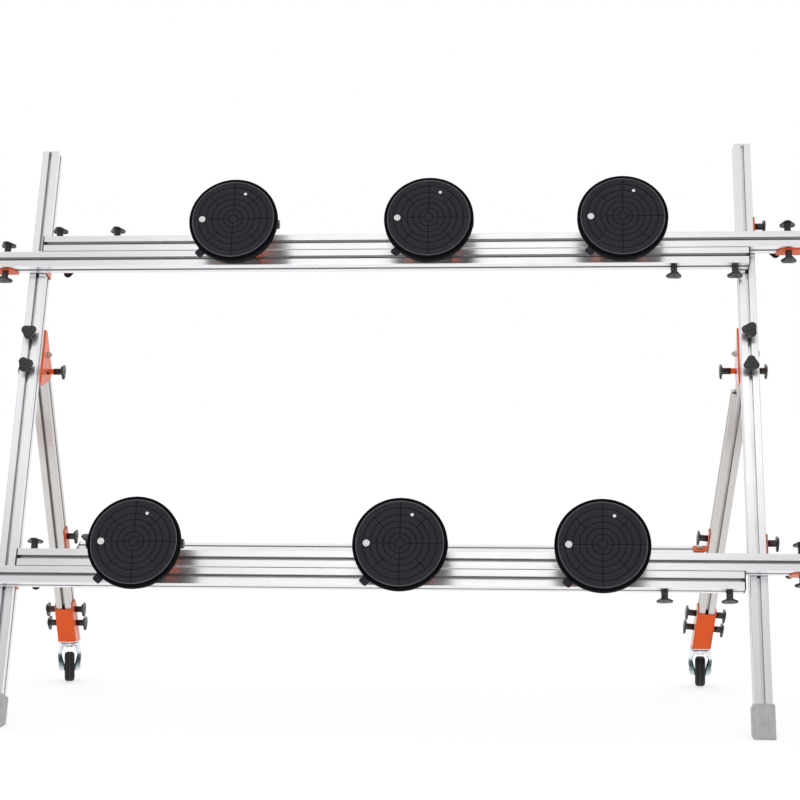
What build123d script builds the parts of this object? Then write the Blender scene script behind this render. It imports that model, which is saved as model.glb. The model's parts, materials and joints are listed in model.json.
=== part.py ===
"""Large tile carrying frame.

A pair of leaning masts carries an upper and a lower rail. Each rail is two T-slot bars, one above the
other, that slide past each other: the upper bar runs out to the right and the lower bar to the left.
Six pump-up suction cups stand in front of the rails to hold the tile. Two legs, joined by a stretcher
and each on a caster, are hinged behind the masts and fold against them.

Units are millimetres. Z is up, X runs along the rails, the tile faces -Y, and the origin is on the
floor below the middle of the whole frame.
"""
import os
from math import cos, radians, sin

from build123d import *

os.makedirs("parts", exist_ok=True)

# T-slot bar section
bar_size = 40.0
bar_corner = 2.2
slot_width = 8.2
slot_lip = 4.5
slot_inner = 18.0
slot_wall = 4.0
slot_depth = 12.5
slot_floor = 9.0
core_bore = 6.8

# Masts
lean = 21.0
mast_bottom = 45.0
mast_top = 1420.0
cap_thickness = 3.0
cap_peg = 10.0
foot_size = 48.0
foot_wrap = 30.0

# Sliding bars
bar_length = 1800.0
lower_rail_line = 358.0
upper_rail_line = 1133.0
slide_gap = 0.3
upper_setback = 138.0
upper_shift = 11.0
clamp_first = 31.0
clamp_pitch = 140.0

# Bolts and knobs
bolt_size = 7.6
bolt_hole = 8.4
bolt_entry = 12.0
bolt_head_length = 16.0
bolt_head_width = 17.0
bolt_head_height = 3.4
nut_width = 13.0
nut_height = 6.5
thin_nut_height = 4.0
nut_stand = 1.0
knob_stem = 15.5
knob_stem_height = 21.0
knob_head = 37.0
knob_lobe = 16.0
knob_head_height = 8.5

# Sheet-metal brackets
sheet = 3.0
rail_bracket_left_top = 40.0
rail_bracket_right_length = 89.0
rail_bracket_left_starts = (-36.0, -41.0)
rail_bracket_right_start = 7.0
rail_bracket_depth = 36.0
rail_bracket_reach = 62.0
rail_bracket_knob = 48.0
rail_bracket_margin = 16.0
bracket_clear_upper = 12.0
bracket_clear_lower = 9.0

# End brackets and handles
end_grip_upper = 72.0
end_grip_lower = 90.0
end_web_setback = 26.0
end_flange_depth = 28.0
end_corner = 9.0
end_knob_first = 27.0
end_plate = 4.0
handle_collar = 38.0
handle_collar_length = 8.0
handle_size = 34.0
handle_length = 126.0
handle_round = 9.0

# Hinges
hinge_height = 911.0
hinge_back = 31.0
hinge_web = 5.0
hinge_side_gap = 0.5
hinge_above = 52.0
hinge_below = 84.0
hinge_depth = 45.0
hinge_bolt_above = 22.0
hinge_bolt_below = 61.0
pivot_size = 8.0
pivot_clearance = 0.08
lock_radius = 43.0
lock_slot_clearance = 0.5
lock_spacer = 11.0
lock_spacer_size = 12.0
fold_angle = 36.0
head_trim_clearance = 0.3
head_trim_radius = 98.0

# Rear legs and stretcher
leg_lean = 21.0
leg_toe_left = 0.0
leg_toe_right = 6.0
leg_above = 14.0
leg_end_rise = 31.6
stretcher_rise = 271.6
stretcher_left_gap = 31.0
stretcher_right_gap = 4.0
stretcher_flange = 44.0
stretcher_tab_left = 75.0
stretcher_tab_right = 30.0
stretcher_knob_height = 24.0
stretcher_tab_knob = 56.0
stretcher_bracket_width = 30.0

# Casters
caster_height = 100.0
caster_plate = 4.0
caster_plate_depth = 52.0
caster_flange_rise = 112.6
caster_web_rise = 100.6
caster_flange_depth = 38.0
caster_knob_first = 22.0
caster_knob_pitch = 39.0
race_size = 50.0
race_height = 3.0
kingpin_size = 10.0
kingpin_nut = 17.0
kingpin_nut_height = 8.0
kingpin_head = 18.0
kingpin_head_height = 3.5
running_clearance = 0.06
face_clearance = 0.3
crown_size = 55.0
crown_height = 5.0
fork_width = 50.0
fork_sheet = 3.5
fork_crown_depth = 44.0
fork_crown_height = 4.0
fork_toe = 17.0
fork_end = 10.0
trail = 26.0
caster_turn_left = 195.0
caster_turn_right = -4.0
wheel_size = 75.0
tyre_width = 25.0
hub_width = 41.0
hub_size = 16.0
rim_size = 52.0
web_width = 14.0
tyre_round = 5.0
axle_size = 8.0
axle_head = 14.0
axle_head_height = 4.0

# Suction cups
upper_cups = (-345.0, 107.6, 549.0)
lower_cups = (-516.0, 64.0, 497.3)
cup_reach = 115.0
cup_rise = 4.0
pad_size = 206.0
pad_height = 20.0
pad_back_size = 202.0
pad_lip = 17.0
pad_round = 3.0
pad_groove = 1.6
pad_groove_depth = 1.2
pad_ring_steps = (0.1, 0.215, 0.35, 0.483, 0.62, 0.778, 0.92)
tab_angle = 227.5
tab_width = 20.0
tab_out = 16.0
tab_height = 5.0
tab_depth = 9.0
shell_size = 198.0
shell_height = 14.0
shell_taper = 4.0
pump_rise = 10.0
pump_depth = 51.0
pump_size = 36.0
pump_length = 92.0
pump_wall = 8.0
piston_size = 24.0
piston_length = 14.0
piston_end_gap = 4.0
piston_rest = pump_length / 2 - pump_wall - piston_end_gap - piston_length
rod_size = 14.0
button_size = 22.0
button_length = 13.0
button_stand = 55.0
button_end = pump_length / 2 + button_stand
press_travel = 24.0
pump_side_gap = 1.0
carrier_half = pump_length / 2 + pump_side_gap + sheet
carrier_drop = 20.0
carrier_rise = 38.0
carrier_relief = 0.5
carrier_foot = 14.0
carrier_foot_drop = 24.0
carrier_foot_rise = 36.0
carrier_bolt = 34.0
carrier_window = 20.0

# The bars of a rail overlap, and the masts stand just inside the brackets on the bars' ends
upper_outer = (bar_length + upper_setback) / 2 + upper_shift
upper_right_reach = bar_length - upper_outer
upper_left_reach = upper_right_reach + 2 * upper_shift
upper_web = upper_outer - end_grip_upper + end_web_setback
mast_half = upper_web - bracket_clear_upper - rail_bracket_reach - bar_size / 2
lower_web = mast_half + bar_size / 2 + rail_bracket_reach + bracket_clear_lower
lower_reach = bar_length - (lower_web - end_web_setback + end_grip_lower)

# The frame stands centred over its own outline from front to back
lean_up = (0.0, sin(radians(lean)), cos(radians(lean)))
lean_front = (0.0, -cos(radians(lean)), sin(radians(lean)))
rail_middle = slide_gap + bar_size / 2
rail_front = slide_gap + bar_size
pad_front = rail_front + cup_reach
hinge_out = bar_size + hinge_back
pivot_y = hinge_height * lean_up[1] - hinge_out * lean_front[1]
pivot_z = hinge_height * lean_up[2] - hinge_out * lean_front[2]
leg_run = (pivot_z - caster_height) / cos(radians(leg_lean))
leg_below = leg_run - leg_end_rise
stretcher_drop = leg_run - stretcher_rise
caster_flange_top = leg_run - caster_flange_rise
caster_web_top = leg_run - caster_web_rise
caster_y = pivot_y + leg_run * sin(radians(leg_lean))
lower_cup_line = lower_rail_line + rail_middle - slide_gap / 2 + cup_rise
front_reach = (lower_cup_line - pad_size / 2) * lean_up[1] + (pad_front - pad_round) * lean_front[1]
wheel_turn = radians(caster_turn_right)
tread_half = tyre_width / 2 - tyre_round
back_reach = caster_y + (trail + wheel_size / 2) * cos(wheel_turn) + tread_half * abs(sin(wheel_turn))
centre_y = (front_reach + back_reach) / 2

rail_frame = Plane(origin=(0, -centre_y, 0), x_dir=(1, 0, 0), z_dir=lean_front)
along = Vector(1, 0, 0)
up_mast = rail_frame.y_dir
out_front = rail_frame.z_dir


def rail_point(x, s, n):
    """The point x along the rails, s up the mast and n out from the front of the mast."""
    return rail_frame.from_local_coords(Vector(x, s, n))


def rail_spot(x, s, n, normal, direction=along):
    """A plane at a point of the mast frame that faces along normal."""
    return Plane(origin=rail_point(x, s, n), x_dir=direction, z_dir=normal)


def rail_section(x):
    """A plane across the rails, drawn in (s, n)."""
    return Plane(origin=rail_point(x, 0, 0), x_dir=up_mast, z_dir=along)


def mast_section(s):
    """A plane across the masts, drawn in (x, -n)."""
    return Plane(origin=rail_point(0, s, 0), x_dir=along, z_dir=up_mast)


def block(frame, x_range, y_range, z_range, mode=Mode.ADD):
    """A block given by its ranges along the axes of a frame."""
    middle = [(a + b) / 2 for a, b in (x_range, y_range, z_range)]
    spans = [abs(b - a) for a, b in (x_range, y_range, z_range)]
    with Locations(frame.location * Location(middle)):
        Box(*spans, mode=mode)


def leg_frame(side, toe):
    """The frame of one leg: origin on the pivot, z up the leg, y out of its back."""
    down = Vector(
        -side * sin(radians(toe)),
        sin(radians(leg_lean)) * cos(radians(toe)),
        -cos(radians(leg_lean)) * cos(radians(toe)),
    )
    across = (along - down * down.X).normalized()
    return Plane(origin=rail_point(side * mast_half, hinge_height, -hinge_out), x_dir=across, z_dir=-down)


left_leg = leg_frame(-1, leg_toe_left)
right_leg = leg_frame(1, leg_toe_right)
square_leg = Plane(
    origin=rail_point(0, hinge_height, -hinge_out),
    x_dir=along,
    z_dir=(0, -sin(radians(leg_lean)), cos(radians(leg_lean))),
)


def leg_spot(frame, x, y, z, normal, direction):
    """A plane at a point of a leg frame that faces along normal."""
    return Plane(origin=frame.from_local_coords(Vector(x, y, z)), x_dir=direction, z_dir=normal)


def t_slot_bar(start, length):
    """A T-slot bar that runs from the plane start along its normal."""
    half = bar_size / 2
    neck = slot_width / 2
    wide = slot_inner / 2
    foot = slot_floor / 2
    roof = half - slot_lip
    wall_end = roof - slot_wall
    floor = half - slot_depth
    slot = [
        (half + 1, neck), (roof, neck), (roof, wide), (wall_end, wide), (floor, foot),
        (floor, -foot), (wall_end, -wide), (roof, -wide), (roof, -neck), (half + 1, -neck),
    ]
    with BuildPart() as bar:
        with BuildSketch(start):
            RectangleRounded(bar_size, bar_size, bar_corner)
            with PolarLocations(0, 4):
                Polygon(*slot, align=None, mode=Mode.SUBTRACT)
            Circle(core_bore / 2, mode=Mode.SUBTRACT)
        extrude(amount=length)
    return bar.part


def end_cap(start):
    """A flat cap on the end of a T-slot bar, with a peg in the bar's core. The plane faces outward."""
    with BuildPart() as cap:
        with BuildSketch(start):
            RectangleRounded(bar_size, bar_size, bar_corner)
        extrude(amount=cap_thickness)
        with BuildSketch(start):
            Circle(core_bore / 2 - running_clearance)
        extrude(amount=-cap_peg)
    return cap.part


def three_lobe_knob():
    """A hand knob with its seat at the origin and its head up Z, bored for the end of a bolt."""
    lobe_centre = (knob_head - knob_lobe) / 2
    with BuildPart() as knob:
        with BuildSketch():
            Circle(knob_stem / 2)
        extrude(amount=knob_stem_height)
        with BuildSketch(Plane.XY.offset(knob_stem_height)):
            Circle(knob_stem / 2 + 3)
            with PolarLocations(lobe_centre, 3):
                Circle(knob_lobe / 2)
        extrude(amount=knob_head_height)
        top = knob.faces().sort_by(Axis.Z)[-1]
        chamfer(top.edges(), 1.5)
        with BuildSketch():
            Circle(bolt_size / 2)
        extrude(amount=bolt_entry, mode=Mode.SUBTRACT)
    return knob.part


def t_bolt(grip, head_gap=0.0, nut=0.0):
    """A T-head bolt for a slot whose face is at the origin, with a nut of some height on its grip."""
    head_top = -slot_lip - head_gap
    stand = nut + nut_stand if nut else bolt_entry
    with BuildPart() as bolt:
        with BuildSketch(Plane.XY.offset(head_top - bolt_head_height)):
            Rectangle(bolt_head_length, bolt_head_width)
        extrude(amount=bolt_head_height)
        with BuildSketch(Plane.XY.offset(head_top)):
            Circle(bolt_size / 2)
        extrude(amount=grip + stand - head_top)
        if nut:
            with BuildSketch(Plane.XY.offset(grip)):
                RegularPolygon(nut_width / 2, 6, major_radius=False)
            extrude(amount=nut)
    return bolt.part


knob = three_lobe_knob()
plate_bolt = t_bolt(sheet)
sliding_plate_bolt = t_bolt(sheet + slide_gap, face_clearance)
clamp_bolt = t_bolt(slide_gap + bar_size, face_clearance)
carrier_bolt_set = t_bolt(sheet + carrier_relief, 0.0, nut_height)
tab_bolt = t_bolt(sheet, 0.0, thin_nut_height)

masts = {"left": -1, "right": 1}
hinge_bolt_heights = (hinge_height + hinge_bolt_above, hinge_height - hinge_bolt_below)

# Masts, drilled through from front to back for the hinge bolts
for side_name, side in masts.items():
    drillings = [rail_spot(side * mast_half, s, -bar_size / 2, out_front) for s in hinge_bolt_heights]
    with BuildPart() as mast:
        add(t_slot_bar(rail_spot(side * mast_half, mast_bottom, -bar_size / 2, up_mast), mast_top - mast_bottom))
        with Locations(*drillings):
            Cylinder(bolt_hole / 2, 2 * bar_size, mode=Mode.SUBTRACT)
    mast.part.label = f"mast_{side_name}"
    export_step(mast.part, f"parts/mast_{side_name}.step")

with BuildPart() as mast_end_caps:
    for side in masts.values():
        add(end_cap(rail_spot(side * mast_half, mast_top, -bar_size / 2, up_mast)))
mast_end_caps.part.label = "mast_end_caps"
export_step(mast_end_caps.part, "parts/mast_end_caps.step")

# Rubber shoes, cut level with the floor
with BuildPart() as mast_feet:
    for side in masts.values():
        with BuildSketch(rail_spot(side * mast_half, -foot_size, -bar_size / 2, up_mast)):
            RectangleRounded(foot_size, foot_size, (foot_size - bar_size) / 2)
        extrude(amount=foot_size + mast_bottom + foot_wrap)
        with BuildSketch(rail_spot(side * mast_half, mast_bottom, -bar_size / 2, up_mast)):
            Rectangle(bar_size, bar_size)
        extrude(amount=2 * foot_wrap, mode=Mode.SUBTRACT)
    split(bisect_by=Plane.XY, keep=Keep.TOP)
mast_feet.part.label = "mast_feet"
export_step(mast_feet.part, "parts/mast_feet.step")

# Hinge brackets: a web on the back of the mast and two cheeks around the leg
hinge_inside = bar_size + 2 * hinge_side_gap
hinge_outside = hinge_inside + 2 * sheet
open_direction = 180 + lean + leg_lean
slot_end_margin = 2.0
cheek = [
    (hinge_height + hinge_above, -bar_size),
    (hinge_height + hinge_above, -bar_size - hinge_web - 6),
    (hinge_height + 8, -hinge_out - 20),
    (hinge_height - 16, -hinge_out - hinge_depth),
    (hinge_height - 44, -hinge_out - hinge_depth),
    (hinge_height - hinge_below, -bar_size - hinge_web - 14),
    (hinge_height - hinge_below, -bar_size),
]
with BuildLine() as lock_track:
    CenterArc(
        (hinge_height, -hinge_out),
        lock_radius,
        open_direction - fold_angle - slot_end_margin,
        fold_angle + 2 * slot_end_margin,
    )
with BuildPart() as hinge_brackets:
    for side in masts.values():
        outer_face = rail_section(side * mast_half - hinge_outside / 2)
        with BuildSketch(outer_face):
            Polygon(*cheek, align=None)
            with Locations((hinge_height, -hinge_out)):
                Circle(pivot_size / 2, mode=Mode.SUBTRACT)
            SlotArc(lock_track.wire(), bolt_size + 2 * lock_slot_clearance, mode=Mode.SUBTRACT)
        extrude(amount=hinge_outside)
        block(
            rail_frame,
            (side * mast_half - hinge_inside / 2, side * mast_half + hinge_inside / 2),
            (hinge_height - 2 * hinge_below, hinge_height + 2 * hinge_above),
            (-bar_size - hinge_web, -bar_size - 2 * hinge_depth - hinge_back),
            Mode.SUBTRACT,
        )
        with Locations(*[rail_spot(side * mast_half, s, -bar_size, out_front) for s in hinge_bolt_heights]):
            Cylinder(bolt_size / 2, 4 * hinge_web, mode=Mode.SUBTRACT)
hinge_brackets.part.label = "hinge_brackets"
export_step(hinge_brackets.part, "parts/hinge_brackets.step")

# Rail brackets: one flange on the side of the mast, one behind the bar it holds
rail_brackets_at = []
for rail_line, left_start in zip((lower_rail_line, upper_rail_line), rail_bracket_left_starts):
    bar_offset = (bar_size + slide_gap) / 2
    left_low = rail_line + left_start
    right_low = rail_line + rail_bracket_right_start
    rail_brackets_at.append((-mast_half, rail_line - bar_offset, left_low, rail_line + rail_bracket_left_top))
    rail_brackets_at.append((mast_half, rail_line + bar_offset, right_low, right_low + rail_bracket_right_length))

with BuildPart() as rail_brackets:
    for mast_x, bar_s, low_end, high_end in rail_brackets_at:
        mast_side = mast_x + bar_size / 2
        block(
            rail_frame,
            (mast_side, mast_side + sheet),
            (low_end, high_end),
            (-rail_bracket_depth, 0),
        )
        block(
            rail_frame,
            (mast_side, mast_side + rail_bracket_reach),
            (bar_s - rail_bracket_depth / 2, bar_s + rail_bracket_depth / 2),
            (-sheet, 0),
        )
        side_hole = rail_spot(
            mast_side, high_end - rail_bracket_margin, -bar_size / 2, along, up_mast
        )
        back_hole = rail_spot(mast_side + rail_bracket_knob, bar_s, 0, -out_front)
        with Locations(side_hole, back_hole):
            Cylinder(bolt_hole / 2, 4 * sheet, mode=Mode.SUBTRACT)
rail_brackets.part.label = "rail_brackets"
export_step(rail_brackets.part, "parts/rail_brackets.step")

# Knobs and bolts of the stand
hinge_knob_spots = []
side_bolt_spots = []
back_bolt_spots = []
for side in masts.values():
    hinge_knob_spots += [rail_spot(side * mast_half, s, 0, out_front, up_mast) for s in hinge_bolt_heights]
for mast_x, bar_s, low_end, high_end in rail_brackets_at:
    mast_side = mast_x + bar_size / 2
    knob_s = high_end - rail_bracket_margin
    side_bolt_spots.append(rail_spot(mast_side, knob_s, -bar_size / 2, along, up_mast))
    back_bolt_spots.append(rail_spot(mast_side + rail_bracket_knob, bar_s, slide_gap, -out_front))

with BuildPart() as stand_knobs:
    with Locations(*hinge_knob_spots):
        add(knob)
    with Locations(*[spot.offset(sheet) for spot in side_bolt_spots]):
        add(knob)
    with Locations(*[spot.offset(sheet + slide_gap) for spot in back_bolt_spots]):
        add(knob)
stand_knobs.part.label = "stand_knobs"
export_step(stand_knobs.part, "parts/stand_knobs.step")

hinge_bolt_length = bar_size + hinge_web + bolt_entry
with BuildPart() as stand_bolts:
    with Locations(*[spot.offset(-bar_size - hinge_web) for spot in hinge_knob_spots]):
        Cylinder(bolt_size / 2, hinge_bolt_length, align=(Align.CENTER, Align.CENTER, Align.MIN))
        Cylinder(bolt_size, sheet, align=(Align.CENTER, Align.CENTER, Align.MAX))
    with Locations(*side_bolt_spots):
        add(plate_bolt)
    with Locations(*back_bolt_spots):
        add(sliding_plate_bolt)
    for side in masts.values():
        pivot_start = rail_spot(
            side * (mast_half + hinge_outside / 2), hinge_height, -hinge_out, along * -side, up_mast
        )
        with Locations(pivot_start):
            Cylinder(pivot_size / 2, hinge_outside + nut_height + 4, align=(Align.CENTER, Align.CENTER, Align.MIN))
        with BuildSketch(pivot_start, pivot_start.offset(hinge_outside + nut_height)):
            RegularPolygon(nut_width / 2, 6, major_radius=False)
        extrude(amount=-nut_height)
stand_bolts.part.label = "stand_bolts"
export_step(stand_bolts.part, "parts/stand_bolts.step")

# Sliding bars: name, running-out direction, rail line, reach of the inner end, length in the end bracket
sliding_bars = (
    ("upper_right", 1, upper_rail_line, upper_right_reach, end_grip_upper, upper_cups),
    ("upper_left", -1, upper_rail_line, upper_left_reach, end_grip_upper, ()),
    ("lower_right", 1, lower_rail_line, lower_reach, end_grip_lower, lower_cups),
    ("lower_left", -1, lower_rail_line, lower_reach, end_grip_lower, ()),
)
for name, way, rail_line, reach, end_grip, cups in sliding_bars:
    bar_s = rail_line + way * (bar_size + slide_gap) / 2
    inner_x = -way * reach
    outer_x = inner_x + way * bar_length
    bracket_x = outer_x - way * end_grip
    plate_x = outer_x + way * end_plate
    bar_low = bar_s - bar_size / 2
    bar_high = bar_s + bar_size / 2
    clamp_x = [inner_x + way * (clamp_first + step * clamp_pitch) for step in range(2)]
    end_x = [bracket_x + way * end_knob_first]

    with BuildPart() as bar:
        add(t_slot_bar(rail_spot(inner_x, bar_s, rail_middle, along * way, up_mast), bar_length))
        with Locations(*[rail_spot(x, bar_s, rail_middle, up_mast) for x in clamp_x]):
            Cylinder(bolt_hole / 2, 2 * bar_size, mode=Mode.SUBTRACT)
    bar.part.label = f"{name}_bar"
    export_step(bar.part, f"parts/{name}_bar.step")

    with BuildPart() as cap:
        add(end_cap(rail_spot(inner_x, bar_s, rail_middle, along * -way, up_mast)))
    cap.part.label = f"{name}_cap"
    export_step(cap.part, f"parts/{name}_cap.step")

    # Channel over the top, back and bottom of the bar's outer end, closed by a plate for the handle
    web_back = slide_gap - sheet
    flange_front = slide_gap + end_flange_depth
    flange = [
        (bracket_x, -web_back), (bracket_x, -flange_front + end_corner),
        (bracket_x + way * end_corner, -flange_front), (plate_x, -flange_front), (plate_x, -web_back),
    ]
    flange_hole = rail_spot(0, bar_s, rail_middle, up_mast)
    with BuildPart() as bracket:
        with BuildSketch(mast_section(bar_low - sheet)):
            Polygon(*flange, align=None)
        extrude(amount=sheet)
        with BuildSketch(mast_section(bar_high)):
            Polygon(*flange, align=None)
        extrude(amount=sheet)
        block(
            rail_frame,
            (bracket_x + way * end_web_setback, plate_x),
            (bar_low - sheet, bar_high + sheet),
            (web_back, slide_gap),
        )
        block(rail_frame, (outer_x, plate_x), (bar_low - sheet, bar_high + sheet), (web_back, flange_front))
        with Locations(*[rail_spot(x, bar_s, rail_middle, up_mast) for x in end_x]):
            Cylinder(bolt_hole / 2, 2 * bar_size, mode=Mode.SUBTRACT)
    bracket.part.label = f"{name}_end_bracket"
    export_step(bracket.part, f"parts/{name}_end_bracket.step")

    with BuildPart() as handle:
        with BuildSketch(rail_spot(plate_x, bar_s, rail_middle, along * way, up_mast)):
            Circle(handle_collar / 2)
        extrude(amount=handle_collar_length)
        with BuildSketch(rail_spot(plate_x, bar_s, rail_middle, along * way, up_mast)):
            Circle(handle_size / 2)
        extrude(amount=handle_length)
        fillet(handle.faces().sort_by(Axis.X)[-1 if way > 0 else 0].edges(), handle_round)
    handle.part.label = f"{name}_handle"
    export_step(handle.part, f"parts/{name}_handle.step")

    # The clamp bolts reach through this bar into the slot of the other bar
    facing_s = rail_line - way * slide_gap / 2
    clamp_spots = [rail_spot(x, facing_s, rail_middle, up_mast * way) for x in clamp_x]
    end_spots = [rail_spot(x, bar_high, rail_middle, up_mast) for x in end_x]
    end_spots += [rail_spot(x, bar_low, rail_middle, up_mast * -1) for x in end_x]
    with BuildPart() as knobs:
        with Locations(*[spot.offset(slide_gap + bar_size) for spot in clamp_spots]):
            add(knob)
        with Locations(*[spot.offset(sheet) for spot in end_spots]):
            add(knob)
    knobs.part.label = f"{name}_knobs"
    export_step(knobs.part, f"parts/{name}_knobs.step")

    with BuildPart() as bolts:
        with Locations(*clamp_spots):
            add(clamp_bolt)
        with Locations(*end_spots):
            add(plate_bolt)
        for cup_x in cups:
            with Locations(
                rail_spot(cup_x - carrier_bolt, bar_s, rail_front, out_front),
                rail_spot(cup_x + carrier_bolt, bar_s, rail_front, out_front),
            ):
                add(carrier_bolt_set)
    bolts.part.label = f"{name}_bolts"
    export_step(bolts.part, f"parts/{name}_bolts.step")

# Suction cup pieces, drawn with the pad's face on the XY plane, Z out of the face and Y up the mast
pad_radius = pad_size / 2
pad_back = pad_back_size / 2
with BuildPart() as pad_form:
    with BuildSketch(Plane.XZ):
        Polygon(
            (0, 0), (pad_radius - pad_round, 0), (pad_radius, -pad_round), (pad_radius, -pad_lip),
            (pad_back, -pad_height), (0, -pad_height),
            align=None,
        )
    revolve(axis=Axis.Z)
    with BuildSketch():
        for step in pad_ring_steps:
            Circle(step * pad_radius + pad_groove / 2)
            Circle(step * pad_radius - pad_groove / 2, mode=Mode.SUBTRACT)
    extrude(amount=-pad_groove_depth, mode=Mode.SUBTRACT)
    with BuildSketch():
        for turn in (0, 90):
            Rectangle(2 * pad_ring_steps[-1] * pad_radius, pad_groove, rotation=turn)
        spoke_start = pad_ring_steps[3] * pad_radius
        spoke_end = pad_ring_steps[5] * pad_radius
        with PolarLocations((spoke_start + spoke_end) / 2, 4, start_angle=45):
            Rectangle(spoke_end - spoke_start, pad_groove)
    extrude(amount=-pad_groove_depth, mode=Mode.SUBTRACT)
    with BuildSketch(Plane.XY.offset(-tab_depth - tab_height)):
        with PolarLocations(pad_back - tab_width, 1, start_angle=tab_angle):
            Rectangle(
                pad_radius + tab_out - pad_back + tab_width, tab_width, align=(Align.MIN, Align.CENTER)
            )
    extrude(amount=tab_height)

pump_z = -pump_depth
shell_back = -pad_height - shell_height
pump_end = pump_length / 2
with BuildPart() as shell_form:
    with BuildSketch(Plane.XY.offset(-pad_height)):
        Circle(shell_size / 2)
    extrude(amount=-shell_height, taper=shell_taper)
    block(
        Plane.XY,
        (-pump_end, pump_end),
        (pump_rise - pump_size / 2, pump_rise + pump_size / 2),
        (shell_back, pump_z),
    )
    with BuildSketch(Plane(origin=(-pump_end, pump_rise, pump_z), x_dir=(0, 1, 0), z_dir=(1, 0, 0))):
        Circle(pump_size / 2)
    extrude(amount=pump_length)
    with BuildSketch(Plane(origin=(-pump_end + pump_wall, pump_rise, pump_z), x_dir=(0, 1, 0), z_dir=(1, 0, 0))):
        Circle(piston_size / 2 + running_clearance)
    extrude(amount=pump_length - 2 * pump_wall, mode=Mode.SUBTRACT)
    with BuildSketch(Plane(origin=(0, pump_rise, pump_z), x_dir=(0, 1, 0), z_dir=(1, 0, 0))):
        Circle(rod_size / 2 + running_clearance)
    extrude(amount=pump_length, mode=Mode.SUBTRACT)

with BuildPart() as plunger_form:
    with BuildSketch(Plane(origin=(piston_rest, pump_rise, pump_z), x_dir=(0, 1, 0), z_dir=(1, 0, 0))):
        Circle(piston_size / 2)
    extrude(amount=piston_length)
    with BuildSketch(Plane(origin=(piston_rest, pump_rise, pump_z), x_dir=(0, 1, 0), z_dir=(1, 0, 0))):
        Circle(rod_size / 2)
    extrude(amount=button_end - piston_rest)
    with BuildSketch(
        Plane(origin=(button_end - button_length, pump_rise, pump_z), x_dir=(0, 1, 0), z_dir=(1, 0, 0))
    ):
        Circle(button_size / 2)
    extrude(amount=button_length)
    chamfer(plunger_form.faces().sort_by(Axis.X)[-1].edges(), 1.5)

# Carrier: a plate on the front of the rail with two cheeks and feet that reach the cup's shell
carrier_back = -cup_reach
carrier_plate = carrier_back + sheet + carrier_relief
cup_above_line = (bar_size + slide_gap) / 2 + cup_rise
carrier_low = -carrier_drop - cup_above_line
carrier_high = carrier_rise - cup_above_line
carrier_cheek = [
    (carrier_low, carrier_back), (carrier_high, carrier_back), (carrier_foot_rise, carrier_back / 2),
    (carrier_foot_rise, shell_back), (-carrier_foot_drop, shell_back), (carrier_low, carrier_plate + 16),
]
with BuildPart() as carrier_form:
    block(
        Plane.XY, (-carrier_half, carrier_half), (carrier_low, carrier_high), (carrier_back, carrier_plate)
    )
    for hand in (-1, 1):
        cheek_plane = Plane(origin=(hand * carrier_half, 0, 0), x_dir=(0, 1, 0), z_dir=(1, 0, 0))
        with BuildSketch(cheek_plane):
            Polygon(*carrier_cheek, align=None)
            with Locations((pump_rise, pump_z)):
                Circle(carrier_window / 2, mode=Mode.SUBTRACT)
        extrude(amount=-hand * sheet)
        block(
            Plane.XY,
            (hand * (carrier_half - sheet), hand * (carrier_half + carrier_foot)),
            (-carrier_foot_drop, carrier_foot_rise),
            (shell_back - sheet, shell_back),
        )
    block(
        Plane.XY,
        (-2 * carrier_half, 2 * carrier_half),
        (2 * carrier_low, -cup_above_line + slide_gap),
        (carrier_back - sheet, carrier_back + carrier_relief),
        Mode.SUBTRACT,
    )
    with Locations((-carrier_bolt, -cup_rise, carrier_back), (carrier_bolt, -cup_rise, carrier_back)):
        Cylinder(bolt_hole / 2, 6 * sheet, mode=Mode.SUBTRACT)

cup_rows = {"upper": (upper_rail_line, upper_cups), "lower": (lower_rail_line, lower_cups)}
for row_name, (rail_line, cups) in cup_rows.items():
    cup_spots = [rail_spot(x, rail_line + cup_above_line, pad_front, out_front) for x in cups]
    for number, spot in enumerate(cup_spots, start=1):
        with BuildPart() as pad:
            with Locations(spot):
                add(pad_form.part)
        pad.part.label = f"{row_name}_pad_{number}"
        export_step(pad.part, f"parts/{row_name}_pad_{number}.step")

        with BuildPart() as plunger:
            with Locations(spot):
                add(plunger_form.part)
        plunger.part.label = f"{row_name}_plunger_{number}"
        export_step(plunger.part, f"parts/{row_name}_plunger_{number}.step")

    with BuildPart() as shells:
        with Locations(*cup_spots):
            add(shell_form.part)
    shells.part.label = f"{row_name}_cup_shells"
    export_step(shells.part, f"parts/{row_name}_cup_shells.step")

    with BuildPart() as carriers:
        with Locations(*cup_spots):
            add(carrier_form.part)
    carriers.part.label = f"{row_name}_carriers"
    export_step(carriers.part, f"parts/{row_name}_carriers.step")

# Rear legs; their heads are trimmed to pass between the hinge cheeks
legs = {"left": (-1, left_leg), "right": (1, right_leg)}
for side_name, (side, frame) in legs.items():
    pivot = rail_spot(side * mast_half, hinge_height, -hinge_out, along, up_mast)
    lock = leg_spot(frame, 0, 0, -lock_radius, along, frame.z_dir)
    trim = hinge_inside / 2 - head_trim_clearance
    with BuildPart() as leg:
        add(t_slot_bar(leg_spot(frame, 0, 0, -leg_below, frame.z_dir, frame.x_dir), leg_below + leg_above))
        with Locations(pivot):
            Cylinder(pivot_size / 2 + pivot_clearance, 2 * bar_size, mode=Mode.SUBTRACT)
        with Locations(lock):
            Cylinder(bolt_size / 2, 2 * bar_size, mode=Mode.SUBTRACT)
        with Locations(pivot.offset(trim)):
            Cylinder(head_trim_radius, bar_size, align=(Align.CENTER, Align.CENTER, Align.MIN), mode=Mode.SUBTRACT)
        with Locations(pivot.offset(-trim)):
            Cylinder(head_trim_radius, bar_size, align=(Align.CENTER, Align.CENTER, Align.MAX), mode=Mode.SUBTRACT)
    leg.part.label = f"leg_{side_name}"
    export_step(leg.part, f"parts/leg_{side_name}.step")

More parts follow.
